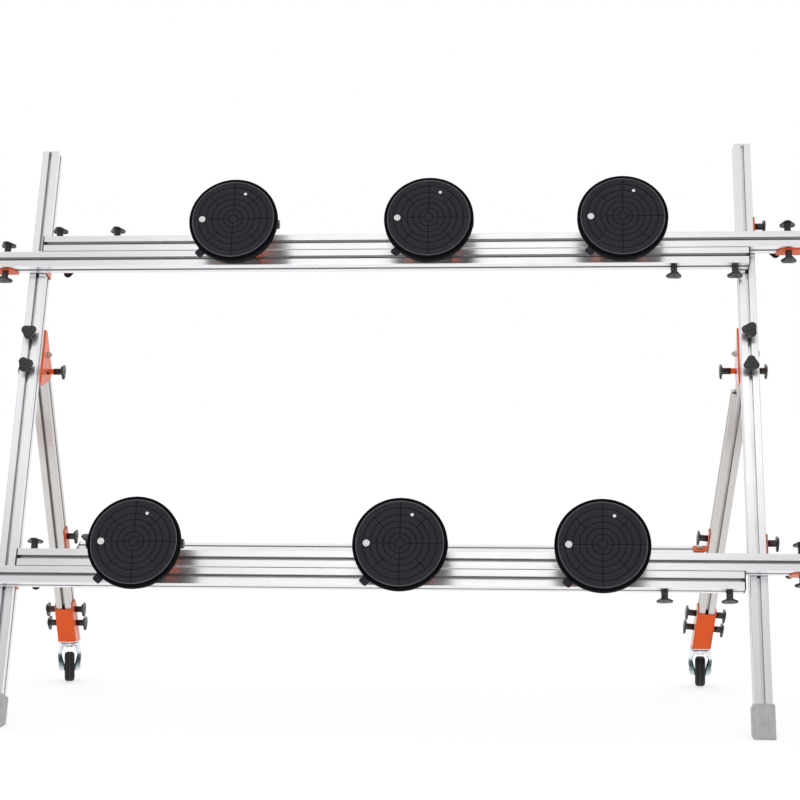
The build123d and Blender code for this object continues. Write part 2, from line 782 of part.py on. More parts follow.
# Stretcher between the legs
half_bar = bar_size / 2
stretcher_z = -stretcher_drop - half_bar
right_lean_in = (stretcher_drop + bar_size) * sin(radians(leg_toe_right)) / cos(radians(leg_toe_right))
left_lean_in = (stretcher_drop + bar_size) * sin(radians(leg_toe_left)) / cos(radians(leg_toe_left))
left_inside = -mast_half + left_lean_in + half_bar / cos(radians(leg_toe_left))
right_inside = mast_half - right_lean_in - half_bar / cos(radians(leg_toe_right))
stretcher_start = left_inside + stretcher_left_gap
stretcher_end = right_inside - stretcher_right_gap
tab_knob_x = left_inside + stretcher_tab_knob
tab_bolt_x = right_inside - stretcher_tab_right / 2
with BuildPart() as stretcher:
    add(
        t_slot_bar(
            leg_spot(square_leg, stretcher_start, 0, stretcher_z, along, square_leg.z_dir),
            stretcher_end - stretcher_start,
        )
    )
    with Locations(leg_spot(square_leg, tab_knob_x, 0, stretcher_z, square_leg.z_dir, along)):
        Cylinder(bolt_hole / 2, 2 * bar_size, mode=Mode.SUBTRACT)
stretcher.part.label = "stretcher"
export_step(stretcher.part, "parts/stretcher.step")

# Stretcher brackets: the left tab lies below the stretcher, the right one on top of it
half_width = stretcher_bracket_width / 2
tab_ends = {"left": left_inside + stretcher_tab_left, "right": right_inside - stretcher_tab_right}
tab_starts = {"left": left_inside + sheet / 2, "right": right_inside + sheet / 2}
tab_levels = {"left": -stretcher_drop - bar_size - sheet, "right": -stretcher_drop}
with BuildPart() as stretcher_brackets:
    for side_name, (side, frame) in legs.items():
        block(
            frame,
            (-side * half_bar, -side * (half_bar + sheet)),
            (-half_width, half_width),
            (tab_levels[side_name] - sheet, -stretcher_drop + stretcher_flange),
        )
        block(
            square_leg,
            (tab_starts[side_name], tab_ends[side_name]),
            (-half_width, half_width),
            (tab_levels[side_name], tab_levels[side_name] + sheet),
        )
        with Locations(leg_spot(frame, 0, 0, -stretcher_drop + stretcher_knob_height, frame.x_dir, frame.z_dir)):
            Cylinder(bolt_hole / 2, 3 * bar_size, mode=Mode.SUBTRACT)
    with Locations(
        leg_spot(square_leg, tab_knob_x, 0, tab_levels["left"], square_leg.z_dir, along),
        leg_spot(square_leg, tab_bolt_x, 0, -stretcher_drop, square_leg.z_dir, along),
    ):
        Cylinder(bolt_hole / 2, 4 * sheet, mode=Mode.SUBTRACT)
stretcher_brackets.part.label = "stretcher_brackets"
export_step(stretcher_brackets.part, "parts/stretcher_brackets.step")

# Caster brackets: a channel over the front and sides of the leg with a level plate below
caster_centres = {}
for side_name, (side, frame) in legs.items():
    axis_start = frame.origin
    run = (axis_start.Z - caster_height) / frame.z_dir.Z
    caster_centres[side_name] = axis_start - frame.z_dir * run

with BuildPart() as caster_brackets:
    for side_name, (side, frame) in legs.items():
        centre = caster_centres[side_name]
        channel_end = -leg_below - 2 * bar_size
        cheek_back = -half_bar + caster_flange_depth
        flange_side = [
            (-half_bar - sheet, -caster_web_top), (-half_bar + sheet, -caster_flange_top),
            (cheek_back - 2 * sheet, -caster_flange_top), (cheek_back, -caster_web_top),
            (cheek_back, channel_end), (-half_bar - sheet, channel_end),
        ]
        for hand in (-1, 1):
            flange_plane = leg_spot(frame, hand * half_bar, 0, 0, frame.x_dir, frame.y_dir)
            with BuildSketch(flange_plane):
                Polygon(*flange_side, align=None)
            extrude(amount=hand * sheet)
        block(
            frame,
            (-half_bar - sheet, half_bar + sheet),
            (-half_bar - sheet, -half_bar),
            (channel_end, -caster_web_top),
        )
        for step in range(2):
            hole_z = -caster_flange_top - caster_knob_first - step * caster_knob_pitch
            with Locations(leg_spot(frame, 0, 0, hole_z, frame.x_dir, frame.z_dir)):
                Cylinder(bolt_hole / 2, 2 * bar_size, mode=Mode.SUBTRACT)
    split(bisect_by=Plane.XY.offset(caster_height), keep=Keep.TOP)
    for centre in caster_centres.values():
        block(
            Plane.XY,
            (centre.X - half_bar - sheet, centre.X + half_bar + sheet),
            (centre.Y - caster_plate_depth / 2, centre.Y + caster_plate_depth / 2),
            (caster_height, caster_height + caster_plate),
        )
        with Locations((centre.X, centre.Y, caster_height)):
            Cylinder(kingpin_size / 2, 4 * caster_plate, mode=Mode.SUBTRACT)
caster_brackets.part.label = "caster_brackets"
export_step(caster_brackets.part, "parts/caster_brackets.step")

# Knobs and bolts of the rear frame
caster_bolt_spots = []
flange_bolt_spots = []
lock_spots = []
for side_name, (side, frame) in legs.items():
    for hand in (-1, 1):
        for step in range(2):
            hole_z = -caster_flange_top - caster_knob_first - step * caster_knob_pitch
            caster_bolt_spots.append(
                leg_spot(frame, hand * half_bar, 0, hole_z, frame.x_dir * hand, frame.z_dir)
            )
    knob_z = -stretcher_drop + stretcher_knob_height
    flange_bolt_spots.append(
        leg_spot(frame, -side * half_bar, 0, knob_z, frame.x_dir * -side, frame.z_dir)
    )
    lock_point = frame.from_local_coords(Vector(0, 0, -lock_radius))
    lock_outer = Vector(side * (mast_half + hinge_outside / 2), lock_point.Y, lock_point.Z)
    lock_spots.append(Plane(origin=lock_outer, x_dir=up_mast, z_dir=along * side))
tab_knob_spot = leg_spot(square_leg, tab_knob_x, 0, -stretcher_drop, square_leg.z_dir, along)
tab_bolt_spot = leg_spot(square_leg, tab_bolt_x, 0, -stretcher_drop, square_leg.z_dir, along)
lock_face_gap = face_clearance
lock_span = hinge_outside + lock_spacer + 2 * lock_face_gap

with BuildPart() as rear_knobs:
    with Locations(*[spot.offset(sheet) for spot in caster_bolt_spots + flange_bolt_spots], tab_knob_spot):
        add(knob)
    with Locations(*[spot.offset(lock_face_gap) for spot in lock_spots]):
        add(knob)
    for spot in lock_spots:
        inner_seat = spot.offset(lock_face_gap - lock_span)
        with Locations(Plane(origin=inner_seat.origin, x_dir=inner_seat.x_dir, z_dir=-inner_seat.z_dir)):
            add(knob)
rear_knobs.part.label = "rear_knobs"
export_step(rear_knobs.part, "parts/rear_knobs.step")

with BuildPart() as rear_bolts:
    with Locations(*caster_bolt_spots, *flange_bolt_spots):
        add(plate_bolt)
    with Locations(tab_knob_spot.offset(-bar_size - sheet)):
        Cylinder(bolt_size / 2, bar_size + sheet + bolt_entry, align=(Align.CENTER, Align.CENTER, Align.MIN))
        Cylinder(bolt_size, sheet, align=(Align.CENTER, Align.CENTER, Align.MAX))
    with Locations(tab_bolt_spot):
        add(tab_bolt)
    with Locations(*[spot.offset(lock_face_gap + bolt_entry) for spot in lock_spots]):
        Cylinder(bolt_size / 2, lock_span + 2 * bolt_entry, align=(Align.CENTER, Align.CENTER, Align.MAX))
    with Locations(*[spot.offset(-hinge_outside - lock_face_gap) for spot in lock_spots]):
        Cylinder(lock_spacer_size / 2, lock_spacer, align=(Align.CENTER, Align.CENTER, Align.MAX))
rear_bolts.part.label = "rear_bolts"
export_step(rear_bolts.part, "parts/rear_bolts.step")

# Caster kingpins: upper race, pin with a nut above the plate and a head below the fork's crown
race_bottom = caster_height - race_height
crown_top = race_bottom - face_clearance
crown_bottom = crown_top - crown_height - fork_crown_height
pin_head_top = crown_bottom - face_clearance
with BuildPart() as caster_kingpins:
    for centre in caster_centres.values():
        with Locations((centre.X, centre.Y, race_bottom)):
            Cylinder(race_size / 2, race_height, align=(Align.CENTER, Align.CENTER, Align.MIN))
        with Locations((centre.X, centre.Y, pin_head_top)):
            Cylinder(
                kingpin_size / 2,
                caster_height + caster_plate + kingpin_nut_height + 2 - pin_head_top,
                align=(Align.CENTER, Align.CENTER, Align.MIN),
            )
            Cylinder(kingpin_head / 2, kingpin_head_height, align=(Align.CENTER, Align.CENTER, Align.MAX))
        with BuildSketch(Plane(origin=(centre.X, centre.Y, caster_height + caster_plate))):
            RegularPolygon(kingpin_nut / 2, 6, major_radius=False)
        extrude(amount=kingpin_nut_height)
caster_kingpins.part.label = "caster_kingpins"
export_step(caster_kingpins.part, "parts/caster_kingpins.step")

# Casters, drawn with the swivel axis on Z and the wheel trailing along Y
wheel_radius = wheel_size / 2
half_fork = fork_width / 2
fork_side = [
    (-fork_crown_depth / 2, crown_bottom + fork_crown_height),
    (fork_crown_depth / 2, crown_bottom + fork_crown_height),
    (trail + fork_toe, wheel_radius + fork_end),
    (trail + fork_toe, wheel_radius),
    (trail + fork_toe / 2, wheel_radius - fork_end),
    (trail - fork_toe / 2, wheel_radius - fork_end),
    (trail - fork_toe, wheel_radius),
]
axle_spot = Plane(origin=(0, trail, wheel_radius), x_dir=(0, 1, 0), z_dir=(1, 0, 0))
with BuildPart() as fork_form:
    with BuildSketch(Plane.XY.offset(crown_top)):
        Circle(crown_size / 2)
    extrude(amount=-crown_height)
    block(
        Plane.XY,
        (-half_fork, half_fork),
        (-fork_crown_depth / 2, fork_crown_depth / 2),
        (crown_bottom, crown_bottom + fork_crown_height),
    )
    for hand in (-1, 1):
        with BuildSketch(Plane(origin=(hand * half_fork, 0, 0), x_dir=(0, 1, 0), z_dir=(1, 0, 0))):
            Polygon(*fork_side, align=None)
        extrude(amount=-hand * fork_sheet)
    with Locations(axle_spot.offset(half_fork), axle_spot.offset(-half_fork)):
        Cylinder(axle_head / 2, 2 * axle_head_height)
    block(
        Plane.XY,
        (-half_fork + fork_sheet, half_fork - fork_sheet),
        (trail - axle_head, trail + axle_head),
        (wheel_radius - axle_head, wheel_radius + axle_head),
        Mode.SUBTRACT,
    )
    with Locations(axle_spot):
        Cylinder(axle_size / 2, fork_width)
    with Locations((0, 0, crown_bottom)):
        Cylinder(kingpin_size / 2 + running_clearance, 4 * crown_height, mode=Mode.SUBTRACT)

bore = axle_size / 2 + running_clearance
with BuildPart() as wheel_form:
    with BuildSketch(Plane(origin=(0, trail, wheel_radius), x_dir=(1, 0, 0), z_dir=(0, -1, 0))):
        Polygon(
            (-hub_width / 2, bore), (hub_width / 2, bore), (hub_width / 2, hub_size / 2),
            (web_width / 2, hub_size / 2), (web_width / 2, rim_size / 2), (tyre_width / 2, rim_size / 2),
            (tyre_width / 2, wheel_radius - tyre_round), (tyre_width / 2 - tyre_round, wheel_radius),
            (-tyre_width / 2 + tyre_round, wheel_radius), (-tyre_width / 2, wheel_radius - tyre_round),
            (-tyre_width / 2, rim_size / 2), (-web_width / 2, rim_size / 2),
            (-web_width / 2, hub_size / 2), (-hub_width / 2, hub_size / 2),
            align=None,
        )
    revolve(axis=Axis((0, trail, wheel_radius), (1, 0, 0)))

# The left caster trails forward and the right one backward, as they were left standing
caster_turns = {"left": caster_turn_left, "right": caster_turn_right}
for side_name, turn in caster_turns.items():
    centre = caster_centres[side_name]
    place = Location((centre.X, centre.Y, 0), (0, 0, turn))
    with BuildPart() as fork:
        with Locations(place):
            add(fork_form.part)
    fork.part.label = f"caster_fork_{side_name}"
    export_step(fork.part, f"parts/caster_fork_{side_name}.step")

    with BuildPart() as wheel:
        with Locations(place):
            add(wheel_form.part)
    wheel.part.label = f"caster_wheel_{side_name}"
    export_step(wheel.part, f"parts/caster_wheel_{side_name}.step")
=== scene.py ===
"""Large tile carrying frame: finishes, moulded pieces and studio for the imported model.

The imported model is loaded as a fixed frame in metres. Bars and masts keep their solids and get a
finish; knobs, sheet brackets, cups, casters and small pieces are modelled again with the rounding,
grooves and tread of the real ones, and each rides on the body of the solid that it stands for.
"""

import json
import math

import bmesh
import bpy
import numpy as np
from bpy.props import FloatProperty, FloatVectorProperty, IntProperty, PointerProperty
from mathutils import Matrix, Vector

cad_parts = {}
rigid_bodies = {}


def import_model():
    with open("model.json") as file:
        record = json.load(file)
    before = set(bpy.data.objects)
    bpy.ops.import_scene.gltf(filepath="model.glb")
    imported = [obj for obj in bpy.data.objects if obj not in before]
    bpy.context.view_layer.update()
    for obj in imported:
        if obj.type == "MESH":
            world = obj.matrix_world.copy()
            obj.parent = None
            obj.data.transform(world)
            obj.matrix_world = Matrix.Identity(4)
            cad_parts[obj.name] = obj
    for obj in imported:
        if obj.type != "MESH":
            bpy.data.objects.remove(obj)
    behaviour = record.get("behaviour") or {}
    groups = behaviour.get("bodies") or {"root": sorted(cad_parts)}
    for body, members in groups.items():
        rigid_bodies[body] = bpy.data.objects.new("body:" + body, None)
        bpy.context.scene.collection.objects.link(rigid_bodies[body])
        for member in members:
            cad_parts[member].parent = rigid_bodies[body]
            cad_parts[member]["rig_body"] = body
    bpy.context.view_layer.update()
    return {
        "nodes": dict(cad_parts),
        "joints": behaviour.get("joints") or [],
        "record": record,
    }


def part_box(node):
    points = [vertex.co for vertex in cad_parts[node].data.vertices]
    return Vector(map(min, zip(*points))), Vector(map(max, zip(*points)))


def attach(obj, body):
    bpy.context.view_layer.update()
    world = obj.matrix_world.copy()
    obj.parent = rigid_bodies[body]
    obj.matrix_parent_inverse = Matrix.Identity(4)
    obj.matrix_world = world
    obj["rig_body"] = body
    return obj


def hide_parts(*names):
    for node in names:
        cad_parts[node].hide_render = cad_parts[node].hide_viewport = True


bl_info = {
    "name": "Tile Carrying Frame",
    "version": (1, 0, 0),
    "blender": (4, 5, 0),
    "location": "3D View > Sidebar > Tile Frame",
    "description": "Dresses the tile carrying frame with its finishes, knobs, cups, casters and studio",
    "category": "Object",
}

for spare in list(bpy.data.objects):
    bpy.data.objects.remove(spare)
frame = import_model()
nodes = frame["nodes"]

BARS = ("upper_right", "upper_left", "lower_right", "lower_left")
ROWS = ("upper", "lower")
SIDES = ("left", "right")

mounts = {mount["name"]: mount for mount in frame["record"]["mounts"]}
joints = {joint["name"]: joint for joint in frame["joints"]}
along = Vector((1, 0, 0))
out_front = Vector(mounts["tile_face_upper"]["axis"]).normalized()
up_mast = out_front.cross(along)
fold_pivot = Vector(joints["rear_frame_fold"]["pos_m"])

# Points closer than this are taken as one point
SAME_POINT = 1e-6
# Points this close below the outermost one lie in the same face
FACE_DEPTH = 0.0002
# Faces that meet at less than the first angle count as one face, and at more than the second as an edge
FLAT_ANGLE = math.radians(0.6)
EDGE_ANGLE = math.radians(30)
# A corner opener than this stays as it is when an outline is softened
STRAIGHT_ANGLE = math.radians(172)
# Two unit vectors whose product is above this run the same way
PARALLEL = 0.999


def leg_axes(side):
    """Across, out of the back and up one rear leg."""
    foot = Vector(joints[f"caster_swivel_{side}"]["pos_m"])
    low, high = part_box(f"mast_{side}")
    head = Vector(((low.x + high.x) / 2, fold_pivot.y, fold_pivot.z))
    up_leg = (head - foot).normalized()
    across = (along - up_leg * along.dot(up_leg)).normalized()
    return across, up_leg.cross(across), up_leg


class FrameSizes(bpy.types.PropertyGroup):
    """Sizes of the details that the finishing adds."""

    bend_radius: FloatProperty(
        name="Bend radius", description="Outside radius of the bends in the sheet brackets",
        default=0.0028, min=0.0005, unit="LENGTH", subtype="DISTANCE")
    sheet: FloatProperty(
        name="Sheet", description="Thickness of the sheet that the brackets are bent from",
        default=0.003, min=0.001, unit="LENGTH", subtype="DISTANCE")
    edge_radius: FloatProperty(
        name="Edge radius", description="Rounding of the brackets' cut edges under the paint",
        default=0.0005, min=0.0001, unit="LENGTH", subtype="DISTANCE")
    knob_reach: FloatProperty(
        name="Knob reach", description="Distance from a knob's axis to the tip of a lobe",
        default=0.0193, min=0.01, unit="LENGTH", subtype="DISTANCE")
    knob_waist: FloatProperty(
        name="Knob waist", description="Distance from a knob's axis to the hollow between two lobes",
        default=0.0142, min=0.008, unit="LENGTH", subtype="DISTANCE")
    knob_height: FloatProperty(
        name="Knob height", description="Height of a knob from its seat to the end of its head",
        default=0.0270, min=0.01, unit="LENGTH", subtype="DISTANCE")
    knob_stem: FloatProperty(
        name="Knob stem", description="Radius of the stem below a knob's head",
        default=0.00775, min=0.003, unit="LENGTH", subtype="DISTANCE")
    pad_radius: FloatProperty(
        name="Pad radius", description="Radius of a suction pad",
        default=0.103, min=0.05, unit="LENGTH", subtype="DISTANCE")
    pad_groove: FloatProperty(
        name="Pad groove", description="Width of the grooves in a pad's face",
        default=0.0012, min=0.0004, unit="LENGTH", subtype="DISTANCE")
    felt_radius: FloatProperty(
        name="Felt radius", description="Radius of the felt filter in a pad's face",
        default=0.0076, min=0.002, unit="LENGTH", subtype="DISTANCE")
    grip_ribs: IntProperty(
        name="Grip ribs", description="Number of ribs around each hand grip", default=17, min=4)
    tread_blocks: IntProperty(
        name="Tread blocks", description="Number of tread blocks around each caster wheel",
        default=44, min=12)


class FrameColours(bpy.types.PropertyGroup):
    """Colours of the finishes."""

    bar: FloatVectorProperty(
        name="Bars", description="Silver of the anodised rails and masts",
        default=(0.90, 0.895, 0.915), min=0, max=1, subtype="COLOR")
    # Painted shade: the legs' silver is a darker, warmer copy of the bars' silver, for the shade on the
    # legs, which face down away from the lamps
    leg: FloatVectorProperty(
        name="Legs", description="Silver of the rear legs and stretcher",
        default=(0.665, 0.643, 0.622), min=0, max=1, subtype="COLOR")
    paint: FloatVectorProperty(
        name="Paint", description="Orange of the powder-coated brackets",
        default=(0.92, 0.114, 0.010), min=0, max=1, subtype="COLOR")
    knob: FloatVectorProperty(
        name="Knobs", description="Dark grey of the moulded knobs",
        default=(0.022, 0.0225, 0.0245), min=0, max=1, subtype="COLOR")
    pad: FloatVectorProperty(
        name="Pads", description="Black of the suction pads' faces",
        default=(0.0150, 0.0140, 0.0212), min=0, max=1, subtype="COLOR")
    zinc: FloatVectorProperty(
        name="Zinc", description="Blue-white of the bright zinc on the caster forks",
        default=(0.84, 0.88, 0.93), min=0, max=1, subtype="COLOR")
    tyre: FloatVectorProperty(
        name="Tyres", description="Black of the caster wheels",
        default=(0.012, 0.012, 0.0135), min=0, max=1, subtype="COLOR")
    felt: FloatVectorProperty(
        name="Felt", description="White of the felt filters",
        default=(0.90, 0.90, 0.91), min=0, max=1, subtype="COLOR")


class StudioSettings(bpy.types.PropertyGroup):
    """Camera and light."""

    lens: FloatProperty(
        name="Lens", description="Focal length of the camera", default=81.84, min=10, unit="CAMERA")
    shift: FloatProperty(
        name="Rise", description="Vertical shift of the camera's frame", default=0.026)
    yaw: FloatProperty(
        name="Yaw", description="Turn of the camera towards the left of the frame",
        default=math.radians(4.714), subtype="ANGLE")
    pitch: FloatProperty(
        name="Pitch", description="Downward tilt of the camera",
        default=math.radians(0.932), subtype="ANGLE")
    position: FloatVectorProperty(
        name="Position", description="Place of the camera", default=(0.38495, -4.23651, 0.738),
        subtype="TRANSLATION", unit="LENGTH")
    sky: FloatProperty(
        name="Sky", description="Strength of the soft light from high at the front",
        default=0.87, min=0)
    low_sky: FloatProperty(
        name="Low sky", description="Strength of the soft light from low at the front",
        default=0.52, min=0)
    backdrop: FloatProperty(
        name="Backdrop", description="Strength of the white backdrop behind the frame",
        default=1.0, min=0)
    softbox: FloatProperty(
        name="Softbox", description="Power of the wide softbox above the front",
        default=11, min=0, unit="POWER")
    key: FloatProperty(
        name="Key", description="Power of the large soft lamp behind the camera",
        default=16, min=0, unit="POWER")


def sizes():
    """The scene's detail sizes."""
    return bpy.context.scene.tile_frame_sizes


def colours():
    """The scene's finish colours."""
    return bpy.context.scene.tile_frame_colours


def studio():
    """The scene's camera and light settings."""
    return bpy.context.scene.tile_frame_studio


# Finishes


def new_finish(name):
    """A material with a plain shader: the material, its node tree and the shader."""
    finish = bpy.data.materials.new(name)
    finish.use_nodes = True
    return finish, finish.node_tree, finish.node_tree.nodes["Principled BSDF"]


def place_of(tree, direction=None, spans=(1.0, 1.0, 1.0)):
    """Object coordinates, turned so that their first axis runs along direction and divided by spans."""
    source = tree.nodes.new("ShaderNodeTexCoord")
    turn = tree.nodes.new("ShaderNodeMapping")
    turn.vector_type = "TEXTURE"
    if direction is not None:
        turn.inputs["Rotation"].default_value = direction.to_track_quat("X", "Z").to_euler()
    turn.inputs["Scale"].default_value = spans
    tree.links.new(source.outputs["Object"], turn.inputs["Vector"])
    return turn.outputs["Vector"]


def speckle(tree, spans, direction=None, detail=3.0, roughness=0.55):
    """Soft noise with features of the given spans."""
    cloud = tree.nodes.new("ShaderNodeTexNoise")
    cloud.inputs["Scale"].default_value = 1.0
    cloud.inputs["Detail"].default_value = detail
    cloud.inputs["Roughness"].default_value = roughness
    if not isinstance(spans, tuple):
        spans = (spans, spans, spans)
    tree.links.new(place_of(tree, direction, spans), cloud.inputs["Vector"])
    return cloud.outputs["Fac"]


def crystals(tree, span):
    """Cells of the given span, each with its own value."""
    cells = tree.nodes.new("ShaderNodeTexVoronoi")
    cells.inputs["Scale"].default_value = 1.0
    tree.links.new(place_of(tree, None, (span, span, span)), cells.inputs["Vector"])
    return cells.outputs["Color"]


def shade(tree, factor, stops):
    """Colour stops over a factor."""
    ramp = tree.nodes.new("ShaderNodeValToRGB")
    band = ramp.color_ramp
    while len(band.elements) < len(stops):
        band.elements.new(0.5)
    for element, (position, colour) in zip(band.elements, stops):
        element.position = position
        element.color = (*colour, 1.0)
    tree.links.new(factor, ramp.inputs["Fac"])
    return ramp.outputs["Color"]


def spread(tree, factor, low, high, start=0.3, end=0.7):
    """A number that runs from low to high as the factor runs from start to end."""
    span = tree.nodes.new("ShaderNodeMapRange")
    span.inputs["From Min"].default_value = start
    span.inputs["From Max"].default_value = end
    span.inputs["To Min"].default_value = low
    span.inputs["To Max"].default_value = high
    tree.links.new(factor, span.inputs["Value"])
    return span.outputs["Result"]


def relief(tree, shader, heights):
    """Bumps from several heights, one on the other: (factor, strength, depth in metres)."""
    below = None
    for factor, strength, depth in heights:
        bump = tree.nodes.new("ShaderNodeBump")
        bump.inputs["Strength"].default_value = strength
        bump.inputs["Distance"].default_value = depth
        tree.links.new(factor, bump.inputs["Height"])
        if below is not None:
            tree.links.new(below, bump.inputs["Normal"])
        below = bump.outputs["Normal"]
    tree.links.new(below, shader.inputs["Normal"])


def times(colour, share):
    """A colour made lighter or darker, as plain numbers."""
    return tuple(min(1.0, part * share) for part in colour)


def mottled(tree, factor, colour, shares):
    """Patches of a colour over a factor: (position, share of the colour)."""
    return shade(tree, factor, [(position, times(colour, share)) for position, share in shares])


def across_lines(tree, direction):
    """The way across lines that run along direction, within each face."""
    source = tree.nodes.new("ShaderNodeNewGeometry")
    across = tree.nodes.new("ShaderNodeVectorMath")
    across.operation = "CROSS_PRODUCT"
    across.inputs[1].default_value = direction
    tree.links.new(source.outputs["Normal"], across.inputs[0])
    return across.outputs["Vector"]


def anodised(name, direction, colour, groove):
    """Satin anodised bar with faint drawing lines along its length and painted shade in its grooves and
    corners.
    """
    finish, tree, shader = new_finish(name)
    lines = speckle(tree, (0.7, 0.0007, 0.0007), direction, 4.0, 0.6)
    bands = speckle(tree, (1.1, 0.007, 0.007), direction, 2.0, 0.5)
    clouds = speckle(tree, 0.05, None, 3.0)
    tone = mottled(tree, bands, colour, ((0.25, 0.955), (0.5, 1.0), (0.8, 1.025)))
    # Painted shade: an ambient occlusion node darkens the bar's colour in its grooves and corners, out
    # to the given reach
    painted_groove_shade = tree.nodes.new("ShaderNodeAmbientOcclusion")
    painted_groove_shade.inputs["Distance"].default_value = groove
    tree.links.new(tone, painted_groove_shade.inputs["Color"])
    tree.links.new(painted_groove_shade.outputs["Color"], shader.inputs["Base Color"])
    tree.links.new(spread(tree, clouds, 0.27, 0.36), shader.inputs["Roughness"])
    shader.inputs["Metallic"].default_value = 1.0
    shader.inputs["Anisotropic"].default_value = 0.7
    tree.links.new(across_lines(tree, direction), shader.inputs["Tangent"])
    relief(tree, shader, ((lines, 0.10, 0.00004), (clouds, 0.05, 0.0001)))
    return finish


def powder_coat(name, colour):
    """Smooth powder coat with a light orange-peel texture."""
    finish, tree, shader = new_finish(name)
    clouds = speckle(tree, 0.035, None, 3.0)
    peel = speckle(tree, 0.0016, None, 2.0)
    dust = speckle(tree, 0.004, None, 4.0, 0.7)
    tone = mottled(tree, clouds, colour, ((0.25, 0.93), (0.55, 1.0), (0.8, 1.05)))
    tree.links.new(tone, shader.inputs["Base Color"])
    tree.links.new(spread(tree, dust, 0.30, 0.42), shader.inputs["Roughness"])
    shader.inputs["Specular IOR Level"].default_value = 0.0
    shader.inputs["Sheen Weight"].default_value = 0.9
    shader.inputs["Sheen Roughness"].default_value = 0.25
    shader.inputs["Coat Weight"].default_value = 1.0
    shader.inputs["Coat Roughness"].default_value = 0.12
    shader.inputs["Coat IOR"].default_value = 1.37
    relief(tree, shader, ((peel, 0.05, 0.00012),))
    return finish


def moulded(name, colour, grain=0.0006, rough=(0.40, 0.55), gloss=0.5):
    """Moulded plastic with a fine spark-eroded grain and faint rubbed patches."""
    finish, tree, shader = new_finish(name)
    clouds = speckle(tree, 0.012, None, 4.0)
    pits = speckle(tree, grain, None, 2.0, 0.6)
    tone = mottled(tree, clouds, colour, ((0.3, 0.82), (0.55, 1.0), (0.78, 1.25)))
    tree.links.new(tone, shader.inputs["Base Color"])
    tree.links.new(spread(tree, clouds, rough[1], rough[0]), shader.inputs["Roughness"])
    shader.inputs["Specular IOR Level"].default_value = gloss
    relief(tree, shader, ((pits, 0.18, 0.00006),))
    return finish


def rubber(name, colour, rough=(0.5, 0.68), gloss=0.3, bloom=1.6):
    """Matt rubber with a faint grey bloom."""
    finish, tree, shader = new_finish(name)
    bloom_cloud = speckle(tree, 0.018, None, 5.0, 0.62)
    pores = speckle(tree, 0.0009, None, 3.0, 0.6)
    tone = mottled(tree, bloom_cloud, colour, ((0.3, 0.8), (0.52, 1.0), (0.75, bloom)))
    tree.links.new(tone, shader.inputs["Base Color"])
    tree.links.new(spread(tree, bloom_cloud, rough[0], rough[1]), shader.inputs["Roughness"])
    shader.inputs["Specular IOR Level"].default_value = gloss
    relief(tree, shader, ((pores, 0.14, 0.00008),))
    return finish


def zinc_plate(name, colour, rough=(0.18, 0.32), span=0.006):
    """Bright zinc on steel, with a faint pattern of crystals and a blue passivation."""
    finish, tree, shader = new_finish(name)
    grains = crystals(tree, span)
    clouds = speckle(tree, 0.02, None, 4.0)
    scratches = speckle(tree, (0.03, 0.0008, 0.0008), Vector((0.4, 0.3, 0.86)), 3.0)
    tone = mottled(tree, clouds, colour, ((0.3, 0.9), (0.55, 1.0), (0.8, 1.08)))
    tree.links.new(tone, shader.inputs["Base Color"])
    tree.links.new(spread(tree, grains, rough[0], rough[1], 0.0, 1.0), shader.inputs["Roughness"])
    shader.inputs["Metallic"].default_value = 1.0
    relief(tree, shader, ((scratches, 0.06, 0.00004), (grains, 0.03, 0.00006)))
    return finish


def cheek_plate(name, colour):
    """Bright zinc with a dark blue-green band across the lower half of a fork's cheeks, bright again at
    their foot.
    """
    finish, tree, shader = new_finish(name)
    source = tree.nodes.new("ShaderNodeTexCoord")
    parts = tree.nodes.new("ShaderNodeSeparateXYZ")
    tree.links.new(source.outputs["Object"], parts.inputs["Vector"])
    level = spread(tree, parts.outputs["Z"], 0.0, 1.0, 0.026, 0.096)
    deep = shade(tree, level, (
        (0.04, times(colour, 0.98)), (0.14, (0.50, 0.58, 0.61)), (0.28, (0.17, 0.24, 0.26)),
        (0.45, (0.045, 0.075, 0.085)), (0.60, (0.10, 0.14, 0.15)), (0.69, times(colour, 0.98))))
    grains = crystals(tree, 0.005)
    scratches = speckle(tree, (0.03, 0.0008, 0.0008), Vector((0.4, 0.3, 0.86)), 3.0)
    tree.links.new(deep, shader.inputs["Base Color"])
    tree.links.new(spread(tree, grains, 0.2, 0.34, 0.0, 1.0), shader.inputs["Roughness"])
    shader.inputs["Metallic"].default_value = 1.0
    relief(tree, shader, ((scratches, 0.06, 0.00004), (grains, 0.03, 0.00006)))
    return finish


def felt_cloth(name, colour):
    """Pressed felt with short fibres."""
    finish, tree, shader = new_finish(name)
    hairs = speckle(tree, (0.0016, 0.00025, 0.00025), Vector((0.8, 0.2, 0.56)), 4.0, 0.7)
    clouds = speckle(tree, 0.006, None, 4.0)
    tone = mottled(tree, clouds, colour, ((0.3, 0.94), (0.6, 1.0), (0.8, 1.04)))
    tree.links.new(tone, shader.inputs["Base Color"])
    tree.links.new(spread(tree, hairs, 0.85, 1.0), shader.inputs["Roughness"])
    shader.inputs["Sheen Weight"].default_value = 0.15
    shader.inputs["Specular IOR Level"].default_value = 0.15
    relief(tree, shader, ((hairs, 0.35, 0.0002),))
    return finish


